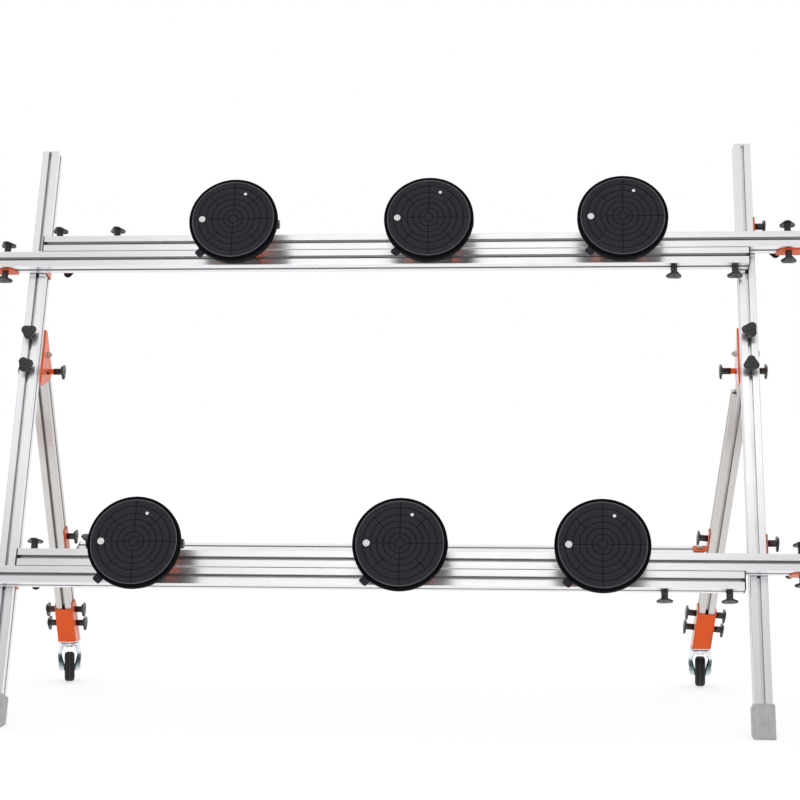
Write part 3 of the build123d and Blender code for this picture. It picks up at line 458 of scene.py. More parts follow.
def pale_floor(name):
    """Pale studio floor that is white to the camera and keeps a soft shadow."""
    finish = bpy.data.materials.new(name)
    finish.use_nodes = True
    tree = finish.node_tree
    tree.nodes.clear()
    output = tree.nodes.new("ShaderNodeOutputMaterial")
    seen = tree.nodes.new("ShaderNodeBsdfDiffuse")
    lit = tree.nodes.new("ShaderNodeBsdfDiffuse")
    glow = tree.nodes.new("ShaderNodeEmission")
    both = tree.nodes.new("ShaderNodeAddShader")
    spill = tree.nodes.new("ShaderNodeEmission")
    bounce = tree.nodes.new("ShaderNodeAddShader")
    choice = tree.nodes.new("ShaderNodeMixShader")
    clouds = speckle(tree, 2.5, None, 2.0)
    paper = shade(tree, clouds, ((0.3, (0.63, 0.63, 0.64)), (0.7, (0.69, 0.69, 0.69))))
    tree.links.new(paper, lit.inputs["Color"])
    seen.inputs["Color"].default_value = (0.46, 0.46, 0.465, 1)
    glow.inputs["Strength"].default_value = 0.62
    spill.inputs["Strength"].default_value = 0.22
    tree.links.new(lit.outputs["BSDF"], bounce.inputs[0])
    tree.links.new(spill.outputs["Emission"], bounce.inputs[1])
    tree.links.new(seen.outputs["BSDF"], both.inputs[0])
    tree.links.new(glow.outputs["Emission"], both.inputs[1])
    tree.links.new(open_view(tree), choice.inputs["Fac"])
    tree.links.new(bounce.outputs["Shader"], choice.inputs[1])
    tree.links.new(both.outputs["Shader"], choice.inputs[2])
    tree.links.new(choice.outputs["Shader"], output.inputs["Surface"])
    return finish


def open_view(tree):
    """One for rays that show the background, also in metal and glass, and nought for the rest."""
    path = tree.nodes.new("ShaderNodeLightPath")
    mirrored = tree.nodes.new("ShaderNodeMath")
    mirrored.operation = "ADD"
    tree.links.new(path.outputs["Is Glossy Ray"], mirrored.inputs[0])
    tree.links.new(path.outputs["Is Transmission Ray"], mirrored.inputs[1])
    total = tree.nodes.new("ShaderNodeMath")
    total.operation = "ADD"
    total.use_clamp = True
    tree.links.new(path.outputs["Is Camera Ray"], total.inputs[0])
    tree.links.new(mirrored.outputs["Value"], total.inputs[1])
    return total.outputs["Value"]


def finish_of(name):
    """The finish of that name, made when it is first asked for."""
    if name in bpy.data.materials:
        return bpy.data.materials[name]
    tint = colours()
    left_up = leg_axes("left")[2]
    right_up = leg_axes("right")[2]
    makers = {
        # The last number of each anodised finish is how far the painted shade in its grooves reaches
        "rail_silver": lambda: anodised(name, along, tint.bar, 0.0105),
        "mast_silver": lambda: anodised(name, up_mast, tint.bar, 0.004),
        # The rear legs take the darker silver, which is painted shade
        "leg_left_shaded_silver": lambda: anodised(name, left_up, tint.leg, 0.006),
        "leg_right_shaded_silver": lambda: anodised(name, right_up, tint.leg, 0.006),
        "stretcher_silver": lambda: anodised(name, along, tint.bar, 0.008),
        "bracket_orange": lambda: powder_coat(name, tint.paint),
        "knob_grey": lambda: moulded(name, tint.knob, 0.0006, (0.20, 0.32)),
        "bolt_zinc": lambda: zinc_plate(name, (0.50, 0.50, 0.50), (0.28, 0.42), 0.004),
        "pad_face_black": lambda: rubber(name, tint.pad),
        "pad_rim_black": lambda: rubber(name, times(tint.pad, 0.25), (0.55, 0.68), 0.03, 1.2),
        # Painted highlight: the bead is a lighter grey than the pad, partly for the light that its
        # rounded lip catches
        "pad_bead_highlight_grey": lambda: rubber(name, (0.10, 0.10, 0.112), (0.38, 0.48), 0.4, 1.4),
        # Painted shade: the grooves and the seats of the felt and dot get half the pad's colour, for
        # the shade that falls in them
        "pad_groove_shade_black": lambda: rubber(name, times(tint.pad, 0.5), (0.6, 0.75), 0.12, 1.3),
        "shell_black": lambda: moulded(name, (0.004, 0.004, 0.0046), 0.0008, (0.5, 0.62), 0.03),
        "barrel_black": lambda: moulded(name, (0.015, 0.015, 0.0165), 0.0008, (0.32, 0.46), 0.45),
        "plunger_black": lambda: moulded(name, (0.017, 0.017, 0.02), 0.0004, (0.25, 0.38), 0.5),
        "plunger_band": lambda: moulded(name, (0.30, 0.30, 0.31), 0.0004, (0.3, 0.42), 0.5),
        "fork_zinc": lambda: zinc_plate(name, tint.zinc),
        "cheek_zinc": lambda: cheek_plate(name, tint.zinc),
        "race_zinc": lambda: zinc_plate(name, (0.80, 0.81, 0.83), (0.15, 0.26), 0.004),
        "tyre_black": lambda: rubber(name, tint.tyre, (0.5, 0.7), 0.35, 1.9),
        # Painted highlight: the raised centre rib is a lighter rubber than the tyre, for the light
        # along it
        "tyre_rib_highlight": lambda: rubber(name, times(tint.tyre, 3.2), (0.35, 0.5), 0.5, 1.6),
        "hub_grey": lambda: moulded(name, (0.055, 0.056, 0.06), 0.0006, (0.35, 0.5), 0.5),
        "foot_grey": lambda: rubber(name, (0.50, 0.50, 0.51), (0.5, 0.66), 0.35, 1.12),
        "cap_black": lambda: moulded(name, (0.018, 0.018, 0.02), 0.0006, (0.34, 0.48), 0.5),
        "grip_black": lambda: rubber(name, (0.02, 0.02, 0.021), (0.48, 0.66), 0.35, 1.7),
        "felt_white": lambda: felt_cloth(name, tint.felt),
        # Painted shade: a darker felt for the ring in the felt's dimple
        "felt_dimple_shade_grey": lambda: felt_cloth(name, times(tint.felt, 0.55)),
        "studio_floor": lambda: pale_floor(name),
    }
    return makers[name]()


# Forms


def welded(node):
    """A copy of a CAD node's solids with its loose facets joined."""
    form = bmesh.new()
    form.from_mesh(nodes[node].data)
    bmesh.ops.remove_doubles(form, verts=form.verts, dist=SAME_POINT)
    return form


def solids_of(node):
    """The points of each solid of a CAD node, one array for each."""
    form = welded(node)
    waiting = dict.fromkeys(form.verts)
    solids = []
    while waiting:
        seed = next(iter(waiting))
        del waiting[seed]
        found, unvisited = [seed], [seed]
        while unvisited:
            corner = unvisited.pop()
            for edge in corner.link_edges:
                other = edge.other_vert(corner)
                if other in waiting:
                    del waiting[other]
                    found.append(other)
                    unvisited.append(other)
        solids.append(np.array([v.co for v in found]))
    form.free()
    return solids


def body_of(node):
    """The body that a CAD node rides on."""
    return nodes[node]["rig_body"]


def make_piece(name, form, finishes, body, stands_for=()):
    """Turn a finished form into a piece that rides on a body of the frame."""
    mesh = bpy.data.meshes.new(name)
    form.to_mesh(mesh)
    form.free()
    if "custom_normal" in mesh.attributes:
        mesh.attributes.remove(mesh.attributes["custom_normal"])
    for finish in finishes:
        mesh.materials.append(finish_of(finish))
    piece = bpy.data.objects.new(name, mesh)
    bpy.context.scene.collection.objects.link(piece)
    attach(piece, body)
    if stands_for:
        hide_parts(*stands_for)
    return piece


def flat_shading(piece):
    """Let the large faces of a piece set the shading of its rounded edges."""
    weight = piece.modifiers.new("face_weight", "WEIGHTED_NORMAL")
    weight.keep_sharp = True
    weight.weight = 80


def frame_at(origin, direction, across):
    """A placing matrix with Z along direction and X near across."""
    z_axis = direction.normalized()
    x_axis = (across - z_axis * across.dot(z_axis)).normalized()
    y_axis = z_axis.cross(x_axis)
    turn = Matrix((x_axis, y_axis, z_axis)).transposed().to_4x4()
    return Matrix.Translation(origin) @ turn


def softened(outline, radius, steps=3):
    """An outline with each inner corner rounded as far as its neighbours allow."""
    made = [outline[0]]
    for before, corner, after in zip(outline, outline[1:], outline[2:]):
        here = Vector(corner)
        back = Vector(before) - here
        on = Vector(after) - here
        if min(back.length, on.length) < SAME_POINT or back.angle(on) > STRAIGHT_ANGLE:
            made.append(corner)
            continue
        reach = min(radius, 0.45 * back.length, 0.45 * on.length)
        start = here + back.normalized() * reach
        end = here + on.normalized() * reach
        for step in range(steps + 1):
            t = step / steps
            point = start * (1 - t) ** 2 + here * 2 * t * (1 - t) + end * t ** 2
            made.append((point.x, point.y))
    made.append(outline[-1])
    return made


def bridge(form, low, high, material=0, closed=True):
    """Faces between two rings of points; a ring of one point makes a fan."""
    count = max(len(low), len(high))
    for k in range(count if closed else count - 1):
        start, end = low[k % len(low)], low[(k + 1) % len(low)]
        far_end, far_start = high[(k + 1) % len(high)], high[k % len(high)]
        corners = list(dict.fromkeys((start, end, far_end, far_start)))
        if len(corners) > 2:
            face = form.faces.new(corners)
            face.material_index = material
            face.smooth = True


def lathe(form, outline, place, steps=48, material=0):
    """Turn an outline of (radius, height) points around the Z axis of place."""
    rings = []
    for radius, height in outline:
        if radius < SAME_POINT:
            rings.append([form.verts.new(place @ Vector((0, 0, height)))])
            continue
        turns = [2 * math.pi * k / steps for k in range(steps)]
        rings.append([
            form.verts.new(place @ Vector((radius * math.cos(turn), radius * math.sin(turn), height)))
            for turn in turns
        ])
    for low, high in zip(rings, rings[1:]):
        bridge(form, low, high, material)


def rounded_block(form, place, spans, radius):
    """A block with rounded edges, centred on place."""
    made = bmesh.ops.create_cube(form, size=1.0, matrix=place @ Matrix.Diagonal((*spans, 1.0)))
    edges = list(dict.fromkeys(edge for vert in made["verts"] for edge in vert.link_edges))
    done = bmesh.ops.bevel(
        form, geom=edges, offset=radius, segments=2, affect="EDGES", profile=0.5, clamp_overlap=True)
    for vert in done["verts"]:
        for face in vert.link_faces:
            face.smooth = True


def eased(share):
    """A share from nought to one that starts and ends gently."""
    return share * share * (3 - 2 * share)


def held(share):
    """A share kept between nought and one."""
    return min(1.0, max(0.0, share))


def grid_rim(grid):
    """The points around the edge of a grid of points, in order."""
    right = [row[-1] for row in grid[1:]]
    left = [row[0] for row in grid[-2:0:-1]]
    return grid[0] + right + grid[-1][-2::-1] + left


def closed_outward(form):
    """Make every face of a closed form look outward."""
    bmesh.ops.recalc_face_normals(form, faces=form.faces)


def outside_of_bend(line, hollow, sheet):
    """Whether an edge runs along the outside of a bend, one sheet away from a hollow edge."""
    start = line.verts[0].co
    direction = (line.verts[1].co - start).normalized()
    diagonal, slack = sheet * math.sqrt(2), 0.12 * sheet
    for fold in hollow:
        other = (fold.verts[1].co - fold.verts[0].co).normalized()
        if abs(other.dot(direction)) < PARALLEL:
            continue
        gap = fold.verts[0].co - start
        away = (gap - direction * gap.dot(direction)).length
        if abs(away - diagonal) < slack:
            return True
    return False


def bent_copy(name, node, finish, bend, edge, sheet, shortest=0.0025):
    """A CAD node's solids again with rounded bends and softened cut edges, in place of the node."""
    form = welded(node)
    bmesh.ops.dissolve_limit(form, angle_limit=FLAT_ANGLE, verts=form.verts, edges=form.edges)
    weight = form.edges.layers.float.new("bevel_weight_edge")
    keen = [e for e in form.edges if len(e.link_faces) == 2 and e.calc_face_angle(0.0) > EDGE_ANGLE]
    hollow = [e for e in keen if not e.is_convex and e.calc_length() > shortest]
    for face in form.faces:
        face.smooth = True
        face.material_index = 0
    for line in keen:
        if line.calc_length() < shortest:
            line.smooth = False
            continue
        bent = line.is_convex and outside_of_bend(line, hollow, sheet)
        line[weight] = 1.0 if bent else edge / bend
    piece = make_piece(name, form, [finish], body_of(node), [node])
    rounding = piece.modifiers.new("rounding", "BEVEL")
    rounding.limit_method = "WEIGHT"
    rounding.width = bend
    rounding.segments = 3
    rounding.use_clamp_overlap = False
    rounding.harden_normals = True
    rounding.miter_outer = "MITER_ARC"
    return piece


def knob_seats(node):
    """Where each knob of a node sits: seat, axis and the way of one lobe, as a placing matrix."""
    axes = [along, up_mast, out_front]
    for side in SIDES:
        axes.extend(leg_axes(side))
    seats = []
    for points in solids_of(node):
        spans = [float(np.ptp(points @ np.array(axis))) for axis in axes]
        axis = np.array(axes[spans.index(min(spans))])
        heights = points @ axis
        low, high = heights.min(), heights.max()
        middle = (low + high) / 2
        centre = points.mean(axis=0)
        off = points - centre
        radial = np.linalg.norm(off - np.outer(off @ axis, axis), axis=1)
        if radial[heights < middle].max() > radial[heights > middle].max():
            axis, heights = -axis, -heights
            low, high = -high, -low
        ring = points[heights < low + FACE_DEPTH]
        seat = (ring.max(axis=0) + ring.min(axis=0)) / 2
        seat = seat + axis * (low - seat @ axis)
        off = points - seat
        flat = off - np.outer(off @ axis, axis)
        lobe = flat[np.linalg.norm(flat, axis=1).argmax()]
        seats.append(frame_at(Vector(seat), Vector(axis), Vector(lobe)))
    return seats


# How far the front knobs at the hinges were left turned, in degrees
HINGE_KNOB_TURNS = {"upper_left": 60, "lower_left": 40, "upper_right": -32, "lower_right": 0}
# Knobs further than this from the middle sit on the masts
MAST_ZONE = 0.8


def knob_turn(seat):
    """How far a knob was left turned when it was tightened."""
    spot = seat.translation
    facing = (seat.to_3x3() @ Vector((0, 0, 1))).dot(out_front) > PARALLEL
    if facing and abs(spot.x) > MAST_ZONE:
        level = "upper" if spot.z > fold_pivot.z else "lower"
        side = "left" if spot.x < 0 else "right"
        return math.radians(HINGE_KNOB_TURNS[f"{level}_{side}"])
    # A slip of its own for every place
    slip = (spot.x * 7.31 + spot.y * 5.17 + spot.z * 11.73) % 1.0
    front = seat.to_3x3().inverted() @ out_front
    if math.hypot(front.x, front.y) < 0.5:
        return math.radians(120 * slip)
    return math.atan2(front.y, front.x) + math.radians(12 * slip - 6)


def add_knob(form, seat):
    """One three-lobed knob: stem, thin lobed head with a hollow underside, domed end and a pip."""
    size = sizes()
    steps = 60
    mean = (size.knob_reach + size.knob_waist) / 2
    swing = (size.knob_reach - size.knob_waist) / 2
    stem = size.knob_stem
    # Height, radius of the round part, share of the lobed part and its scale
    rows = (
        (0.0, stem - 0.0006, 0.0, 0.0), (0.0005, stem, 0.0, 0.0), (0.0192, stem, 0.0, 0.0),
        (0.0202, stem * 1.04, 0.0, 0.0), (0.0209, stem * 1.12, 0.0, 0.0),
        (0.0213, stem * 1.25, 0.25, 0.66), (0.0214, 0.0, 1.0, 0.78), (0.0212, 0.0, 1.0, 0.85),
        (0.0207, 0.0, 1.0, 0.90), (0.0204, 0.0, 1.0, 0.935), (0.0204, 0.0, 1.0, 0.97),
        (0.0207, 0.0, 1.0, 0.992), (0.0213, 0.0, 1.0, 1.0), (0.0234, 0.0, 1.0, 1.0),
        (0.0242, 0.0, 1.0, 0.988), (0.0247, 0.0, 1.0, 0.96), (0.0252, 0.0, 1.0, 0.90),
        (0.0257, 0.0, 1.0, 0.80), (0.0261, 0.0, 1.0, 0.68), (0.0264, 0.0078, 0.5, 0.56),
        (0.0263, 0.0070, 0.0, 0.0), (0.0260, 0.0066, 0.0, 0.0), (0.0260, 0.0058, 0.0, 0.0),
        (0.0264, 0.0054, 0.0, 0.0), (0.0269, 0.0040, 0.0, 0.0), (0.0270, 0.0, 0.0, 0.0),
    )
    drawn_height = rows[-1][0]
    rings = []
    for height, circle, share, scale in rows:
        z = height * size.knob_height / drawn_height
        if circle == 0.0 and share == 0.0:
            rings.append([form.verts.new(seat @ Vector((0, 0, z)))])
            continue
        ring = []
        for k in range(steps):
            angle = 2 * math.pi * k / steps
            wave = math.cos(3 * angle)
            lobed = (mean + swing * math.copysign(abs(wave) ** 0.75, wave)) * scale
            radius = circle * (1 - share) + lobed * share
            spot = Vector((radius * math.cos(angle), radius * math.sin(angle), z))
            ring.append(form.verts.new(seat @ spot))
        rings.append(ring)
    under = [form.verts.new(seat @ Vector((0, 0, 0)))]
    bridge(form, under, rings[0])
    for low, high in zip(rings, rings[1:]):
        bridge(form, low, high)


def pad_place(node):
    """The middle of a pad's face: X along the rails, Y up the mast, Z out of the face."""
    points = np.array([v.co for v in nodes[node].data.vertices])
    heights = points @ np.array(out_front)
    face = points[heights > heights.max() - FACE_DEPTH]
    ups = face @ np.array(up_mast)
    x = float((face[:, 0].min() + face[:, 0].max()) / 2)
    up = float((ups.min() + ups.max()) / 2)
    centre = along * x + up_mast * up + out_front * float(heights.max())
    return frame_at(centre, out_front, along)


PAD_FINISHES = ("pad_face_black", "pad_rim_black", "pad_bead_highlight_grey", "pad_groove_shade_black")
PAD_FACE, PAD_RIM, PAD_BEAD_HIGHLIGHT, PAD_GROOVE_SHADE = range(len(PAD_FINISHES))
# Ring grooves, as shares of a pad's radius
PAD_RINGS = (0.10, 0.215, 0.35, 0.483, 0.62, 0.778)
# From the face over the bead and the lip to the back: share of the radius, height and finish
PAD_EDGE = (
    (0.88, 0.0, PAD_FACE), (0.908, 0.0, PAD_FACE), (0.9125, 0.00030, PAD_BEAD_HIGHLIGHT),
    (0.9185, 0.00052, PAD_BEAD_HIGHLIGHT), (0.9245, 0.00030, PAD_BEAD_HIGHLIGHT), (0.9275, -0.0004, PAD_BEAD_HIGHLIGHT),
    (0.932, -0.0012, PAD_GROOVE_SHADE), (0.938, -0.0012, PAD_GROOVE_SHADE), (0.944, -0.0001, PAD_RIM),
    (0.955, 0.0002, PAD_RIM), (0.975, -0.0001, PAD_RIM), (0.99, -0.0011, PAD_RIM),
    (0.998, -0.0024, PAD_RIM), (1.0, -0.0042, PAD_RIM), (1.0, -0.0146, PAD_RIM),
    (0.997, -0.0162, PAD_RIM), (0.988, -0.0182, PAD_RIM), (0.978, -0.0192, PAD_RIM),
)
# Depths below the solid's face: the middle of the back, the modelled face, and its grooves from there
PAD_BACK = 0.0199
PAD_SET_BACK = 0.0006
PAD_GROOVE_DEPTH = 0.0009


def add_pad_face(form, place):
    """A pad: ringed and crossed face, bead, smooth lip and back."""
    size = sizes()
    radius = size.pad_radius
    half = size.pad_groove / 2
    flank = half * 0.4
    hub = 0.004
    rows = [(hub, 0.0, PAD_FACE)]
    for share in PAD_RINGS:
        middle = share * radius
        rows += [
            (middle - half - flank, 0.0, PAD_FACE),
            (middle - half + flank, -PAD_GROOVE_DEPTH, PAD_GROOVE_SHADE),
            (middle + half - flank, -PAD_GROOVE_DEPTH, PAD_GROOVE_SHADE),
            (middle + half + flank, 0.0, PAD_GROOVE_SHADE),
        ]
    rows += [(share * radius, drop, finish) for share, drop, finish in PAD_EDGE]
    # Long spokes cross the whole face, short ones only the outer rings
    long_spoke = (PAD_RINGS[0] * radius, 0.90 * radius)
    short_spoke = (PAD_RINGS[3] * radius, PAD_RINGS[5] * radius)
    offsets = (
        (-half - flank, False), (-half + flank, True), (half - flank, True), (half + flank, False))
    spokes = 8
    sector = 2 * math.pi / spokes
    # Steps between two spokes, and the largest part of the radius that half a groove takes up
    fill = 9
    widest = 0.35
    rings = []
    for ring_radius, drop, finish in rows:
        ring = []
        for spoke in range(spokes):
            base = spoke * sector
            start, end = long_spoke if spoke % 2 == 0 else short_spoke
            cut = start - SAME_POINT < ring_radius < end + SAME_POINT
            last = base
            for offset, low in offsets:
                height = min(drop, -PAD_GROOVE_DEPTH) if (low and cut) else drop
                last = base + math.asin(max(-widest, min(widest, offset / ring_radius)))
                ring.append((last, height))
            following = sector - 2 * math.asin(min(widest, (half + flank) / ring_radius))
            for k in range(1, fill):
                ring.append((last + following * k / fill, drop))
        rings.append(([
            form.verts.new(place @ Vector((
                ring_radius * math.cos(turn), ring_radius * math.sin(turn), height - PAD_SET_BACK)))
            for turn, height in ring
        ], finish))
    front = [form.verts.new(place @ Vector((0, 0, -PAD_SET_BACK)))]
    bridge(form, front, rings[0][0], PAD_FACE)
    for (low, _), (high, finish) in zip(rings, rings[1:]):
        bridge(form, low, high, finish)
    back = [form.verts.new(place @ Vector((0, 0, -PAD_BACK)))]
    bridge(form, rings[-1][0], back, PAD_RIM)


def shade_pad_grooves(form, place):
    """Paint shade on the floors of the straight grooves with the groove's darker finish."""
    bead = 0.92 * sizes().pad_radius
    out = place.inverted()
    for face in form.faces:
        if face.material_index != PAD_FACE:
            continue
        middle = out @ face.calc_center_median()
        deep = middle.z < -PAD_SET_BACK - PAD_GROOVE_DEPTH / 3
        if deep and math.hypot(middle.x, middle.y) < bead:
            face.material_index = PAD_GROOVE_SHADE


def add_pad_tab(form, place):
    """The release tab at a pad's rim, with round corners and a thumb rib."""
    corner_x, corner_y, corner_radius = 0.0085, 0.0055, 0.0045
    half = 0.0023
    turn = Matrix.Rotation(math.radians(227.5), 4, "Z")
    at = place @ turn @ Matrix.Translation((sizes().pad_radius + 0.0025, 0, -0.0115))
    insets = (
        (0.0014, -half), (0.0004, -0.0018), (0.0, -0.0008),
        (0.0, 0.0008), (0.0004, 0.0018), (0.0014, half))
    layers = []
    for inset, z in insets:
        reach = corner_radius - inset
        ring = []
        for corner in range(4):
            x = corner_x if corner in (0, 3) else -corner_x
            y = corner_y if corner in (0, 1) else -corner_y
            for step in range(6):
                angle = math.pi / 2 * (corner + step / 5)
                spot = Vector((x + reach * math.cos(angle), y + reach * math.sin(angle), z))
                ring.append(form.verts.new(at @ spot))
        layers.append(ring)
    for low, high in zip(layers, layers[1:]):
        bridge(form, low, high)
    for ring, z in ((layers[0], -half), (layers[-1], half)):
        bridge(form, ring, [form.verts.new(at @ Vector((0, 0, z)))])
    rib = at @ Matrix.Translation((corner_x, 0, 0.0019))
    rounded_block(form, rib, (0.0022, 0.0120, 0.0016), 0.0006)


# Operators


class TILE_FRAME_OT_bars(bpy.types.Operator):
    """Give the rails, masts, rear legs and stretcher their anodised finish"""

    bl_idname = "tile_frame.bars"
    bl_label = "Bars"

    def execute(self, context):
        finishes = {f"{bar}_bar": "rail_silver" for bar in BARS}
        finishes.update({"mast_left": "mast_silver", "mast_right": "mast_silver"})
        finishes.update({"leg_left": "leg_left_shaded_silver", "leg_right": "leg_right_shaded_silver"})
        finishes["stretcher"] = "stretcher_silver"
        for node, finish in finishes.items():
            bar = nodes[node]
            if not bar.material_slots:
                bar.data.materials.append(finish_of(finish))
            for place in bar.material_slots:
                place.material = finish_of(finish)
        return {"FINISHED"}


class TILE_FRAME_OT_brackets(bpy.types.Operator):
    """Bend the orange sheet brackets and cup carriers"""

    bl_idname = "tile_frame.brackets"
    bl_label = "Sheet brackets"

    def execute(self, context):
        size = sizes()
        names = ["hinge_brackets", "rail_brackets", "stretcher_brackets", "caster_brackets"]
        names += [f"{bar}_end_bracket" for bar in BARS] + [f"{row}_carriers" for row in ROWS]
        for node in names:
            bent_copy(
                f"{node}_sheet", node, "bracket_orange",
                size.bend_radius, size.edge_radius, size.sheet)
        return {"FINISHED"}


class TILE_FRAME_OT_knobs(bpy.types.Operator):
    """Mould the three-lobed clamp knobs"""

    bl_idname = "tile_frame.knobs"
    bl_label = "Clamp knobs"

    def execute(self, context):
        for node in ["stand_knobs", "rear_knobs"] + [f"{bar}_knobs" for bar in BARS]:
            form = bmesh.new()
            for seat in knob_seats(node):
                add_knob(form, seat @ Matrix.Rotation(knob_turn(seat), 4, "Z"))
            closed_outward(form)
            make_piece(f"{node}_moulded", form, ["knob_grey"], body_of(node), [node])
        return {"FINISHED"}


class TILE_FRAME_OT_bolts(bpy.types.Operator):
    """Finish the T-head bolts and nuts, and put the orange spacers on the lock bolts"""

    bl_idname = "tile_frame.bolts"
    bl_label = "Bolts and spacers"

    def execute(self, context):
        for node in ["stand_bolts", "rear_bolts"] + [f"{bar}_bolts" for bar in BARS]:
            bent_copy(
                f"{node}_plated", node, "bolt_zinc", 0.0004, 0.0003, 0.003, 0.003)
        shortest_lock_bolt, shank, bore, outside = 0.06, 0.0055, 0.0041, 0.0068
        form = bmesh.new()
        for points in solids_of("rear_bolts"):
            if np.ptp(points[:, 0]) < shortest_lock_bolt:
                continue
            middle = (points.max(axis=0) + points.min(axis=0)) / 2
            off = points - middle
            collar = points[np.hypot(off[:, 1], off[:, 2]) > shank]
            start, end = float(collar[:, 0].min()), float(collar[:, 0].max())
            place = frame_at(Vector((start, middle[1], middle[2])), along, up_mast)
            span = end - start
            outline = [(bore, 0.0), (outside, 0.0), (outside, span), (bore, span), (bore, 0.0)]
            lathe(form, softened(outline, 0.0006), place, 36)
        closed_outward(form)
        make_piece("lock_spacers", form, ["bracket_orange"], "rear_frame")
        return {"FINISHED"}


class TILE_FRAME_OT_pads(bpy.types.Operator):
    """Model the suction pads with their grooves, beads, tabs, felt filters and dots"""

    bl_idname = "tile_frame.pads"
    bl_label = "Suction pads"

    def execute(self, context):
        for row in ROWS:
            spots = bmesh.new()
            for number in (1, 2, 3):
                node = f"{row}_pad_{number}"
                place = pad_place(node)
                form = bmesh.new()
                add_pad_face(form, place)
                closed_outward(form)
                shade_pad_grooves(form, place)
                add_pad_tab(form, place)
                make_piece(
                    f"{node}_moulded", form, PAD_FINISHES, body_of(node), [node])
                self.add_spots(spots, place)
            bmesh.ops.remove_doubles(spots, verts=spots.verts, dist=SAME_POINT)
            closed_outward(spots)
            make_piece(
                f"{row}_felt_spots", spots, ["felt_white", "felt_dimple_shade_grey", "pad_groove_shade_black"],
                body_of(f"{row}_pad_1"))
        return {"FINISHED"}

    def add_spots(self, form, place):
        """The felt filter in its seat and the small dot, both set into a pad's face."""
        white, grey, seat = range(3)
        felt = sizes().felt_radius
        radius = sizes().pad_radius
        depth = 0.0018
        spot = place @ Matrix.Translation((-0.70 * radius, 0, -depth))
        dot = place @ Matrix.Translation((0.245 * radius, 0.62 * radius, -depth))
        # Painted shade: the seats take the pad grooves' darker finish, and the ring in the felt's
        # dimple the grey felt
        turned = (
            (spot, 40, seat, (
                (0.0, 0.0), (felt + 0.0022, 0.0), (felt + 0.0020, 0.0010), (felt + 0.0006, 0.0013),
                (felt, 0.0010))),
            (spot, 40, white, (
                (felt, 0.0010), (felt - 0.0003, 0.00155), (felt * 0.8, 0.00172),
                (felt * 0.60, 0.0016))),
            (spot, 40, grey, ((felt * 0.60, 0.0016), (felt * 0.54, 0.0014), (felt * 0.48, 0.0015))),
            (spot, 40, white, ((felt * 0.48, 0.0015), (felt * 0.30, 0.0017), (0, 0.00172))),
            (dot, 28, seat, ((0.0, 0.0), (0.0047, 0.0), (0.0045, 0.0011), (0.0037, 0.0013))),
            (dot, 28, white, ((0.0037, 0.0013), (0.0034, 0.0016), (0.0022, 0.00172), (0, 0.00174))),
        )
        for at, steps, finish, outline in turned:
            lathe(form, outline, at, steps, finish)


# A cup shell's faces further than this behind the pad's face belong to its pump barrel
BARREL_DEPTH = 0.0335
# Where the carrier screws sit behind a pad's middle, and the outline of their heads
CARRIER_SCREWS = [(x, y, -0.037) for x in (-0.0575, 0.0575) for y in (-0.012, 0.024)]
SCREW_HEAD = (
    (0.0, -0.001), (0.0052, -0.001), (0.0052, 0.0012), (0.0040, 0.0028), (0.0021, 0.0031),
    (0.0021, 0.0012), (0.0, 0.0010))


class TILE_FRAME_OT_pumps(bpy.types.Operator):
    """Model the cup shells with their pump barrels, the plungers and the carrier screws"""

    bl_idname = "tile_frame.pumps"
    bl_label = "Cup shells and pumps"

    def execute(self, context):
        for row in ROWS:
            node = f"{row}_cup_shells"
            piece = bent_copy(
                f"{node}_moulded", node, "shell_black", 0.0016, 0.0014, 0.003, 0.002)
            piece.data.materials.append(finish_of("barrel_black"))
            face_level = pad_place(f"{row}_pad_1").translation.dot(out_front)
            for face in piece.data.polygons:
                if face.center.dot(out_front) < face_level - BARREL_DEPTH:
                    face.material_index = 1
            screws = bmesh.new()
            for number in (1, 2, 3):
                self.add_plunger(f"{row}_plunger_{number}")
                place = pad_place(f"{row}_pad_{number}")
                for spot in CARRIER_SCREWS:
                    seat = place @ Matrix.Translation(spot) @ Matrix.Rotation(math.pi, 4, "X")
                    lathe(screws, softened(SCREW_HEAD, 0.0005), seat, 24)
            closed_outward(screws)
            make_piece(
                f"{row}_carrier_screws", screws, ["bolt_zinc"], body_of(f"{row}_carriers"))
        return {"FINISHED"}

    def add_plunger(self, node):
        """One plunger: piston, rod and pressed button, with a pale grey band on the rod below the
        button.
        """
        low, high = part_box(node)
        start = Vector((low.x, (low.y + high.y) / 2, (low.z + high.z) / 2))
        full = high.x - low.x
        place = frame_at(start, along, up_mast)
        form = bmesh.new()
        piston, rod, cap = 0.012, 0.007, 0.011
        button = full - 0.013
        band = button - 0.004
        lathe(form, softened([
            (0.0, 0.0), (piston, 0.0), (piston, 0.0040), (0.0108, 0.0046), (0.0108, 0.0076),
            (piston, 0.0082), (piston, 0.014), (rod, 0.014), (rod, band)], 0.0006), place, 40, 0)
        lathe(form, [(rod, band), (rod, button)], place, 40, 1)
        lathe(form, softened([
            (rod, button), (cap, button), (cap, button + 0.004), (0.0105, button + 0.0045),
            (cap, button + 0.005), (cap, full - 0.0016), (0.0094, full), (0.0070, full),
            (0.0, full - 0.0011)], 0.0008), place, 40, 0)
        bmesh.ops.remove_doubles(form, verts=form.verts, dist=SAME_POINT)
        closed_outward(form)
        make_piece(
            f"{node}_moulded", form, ["plunger_black", "plunger_band"], body_of(node),
            [node])


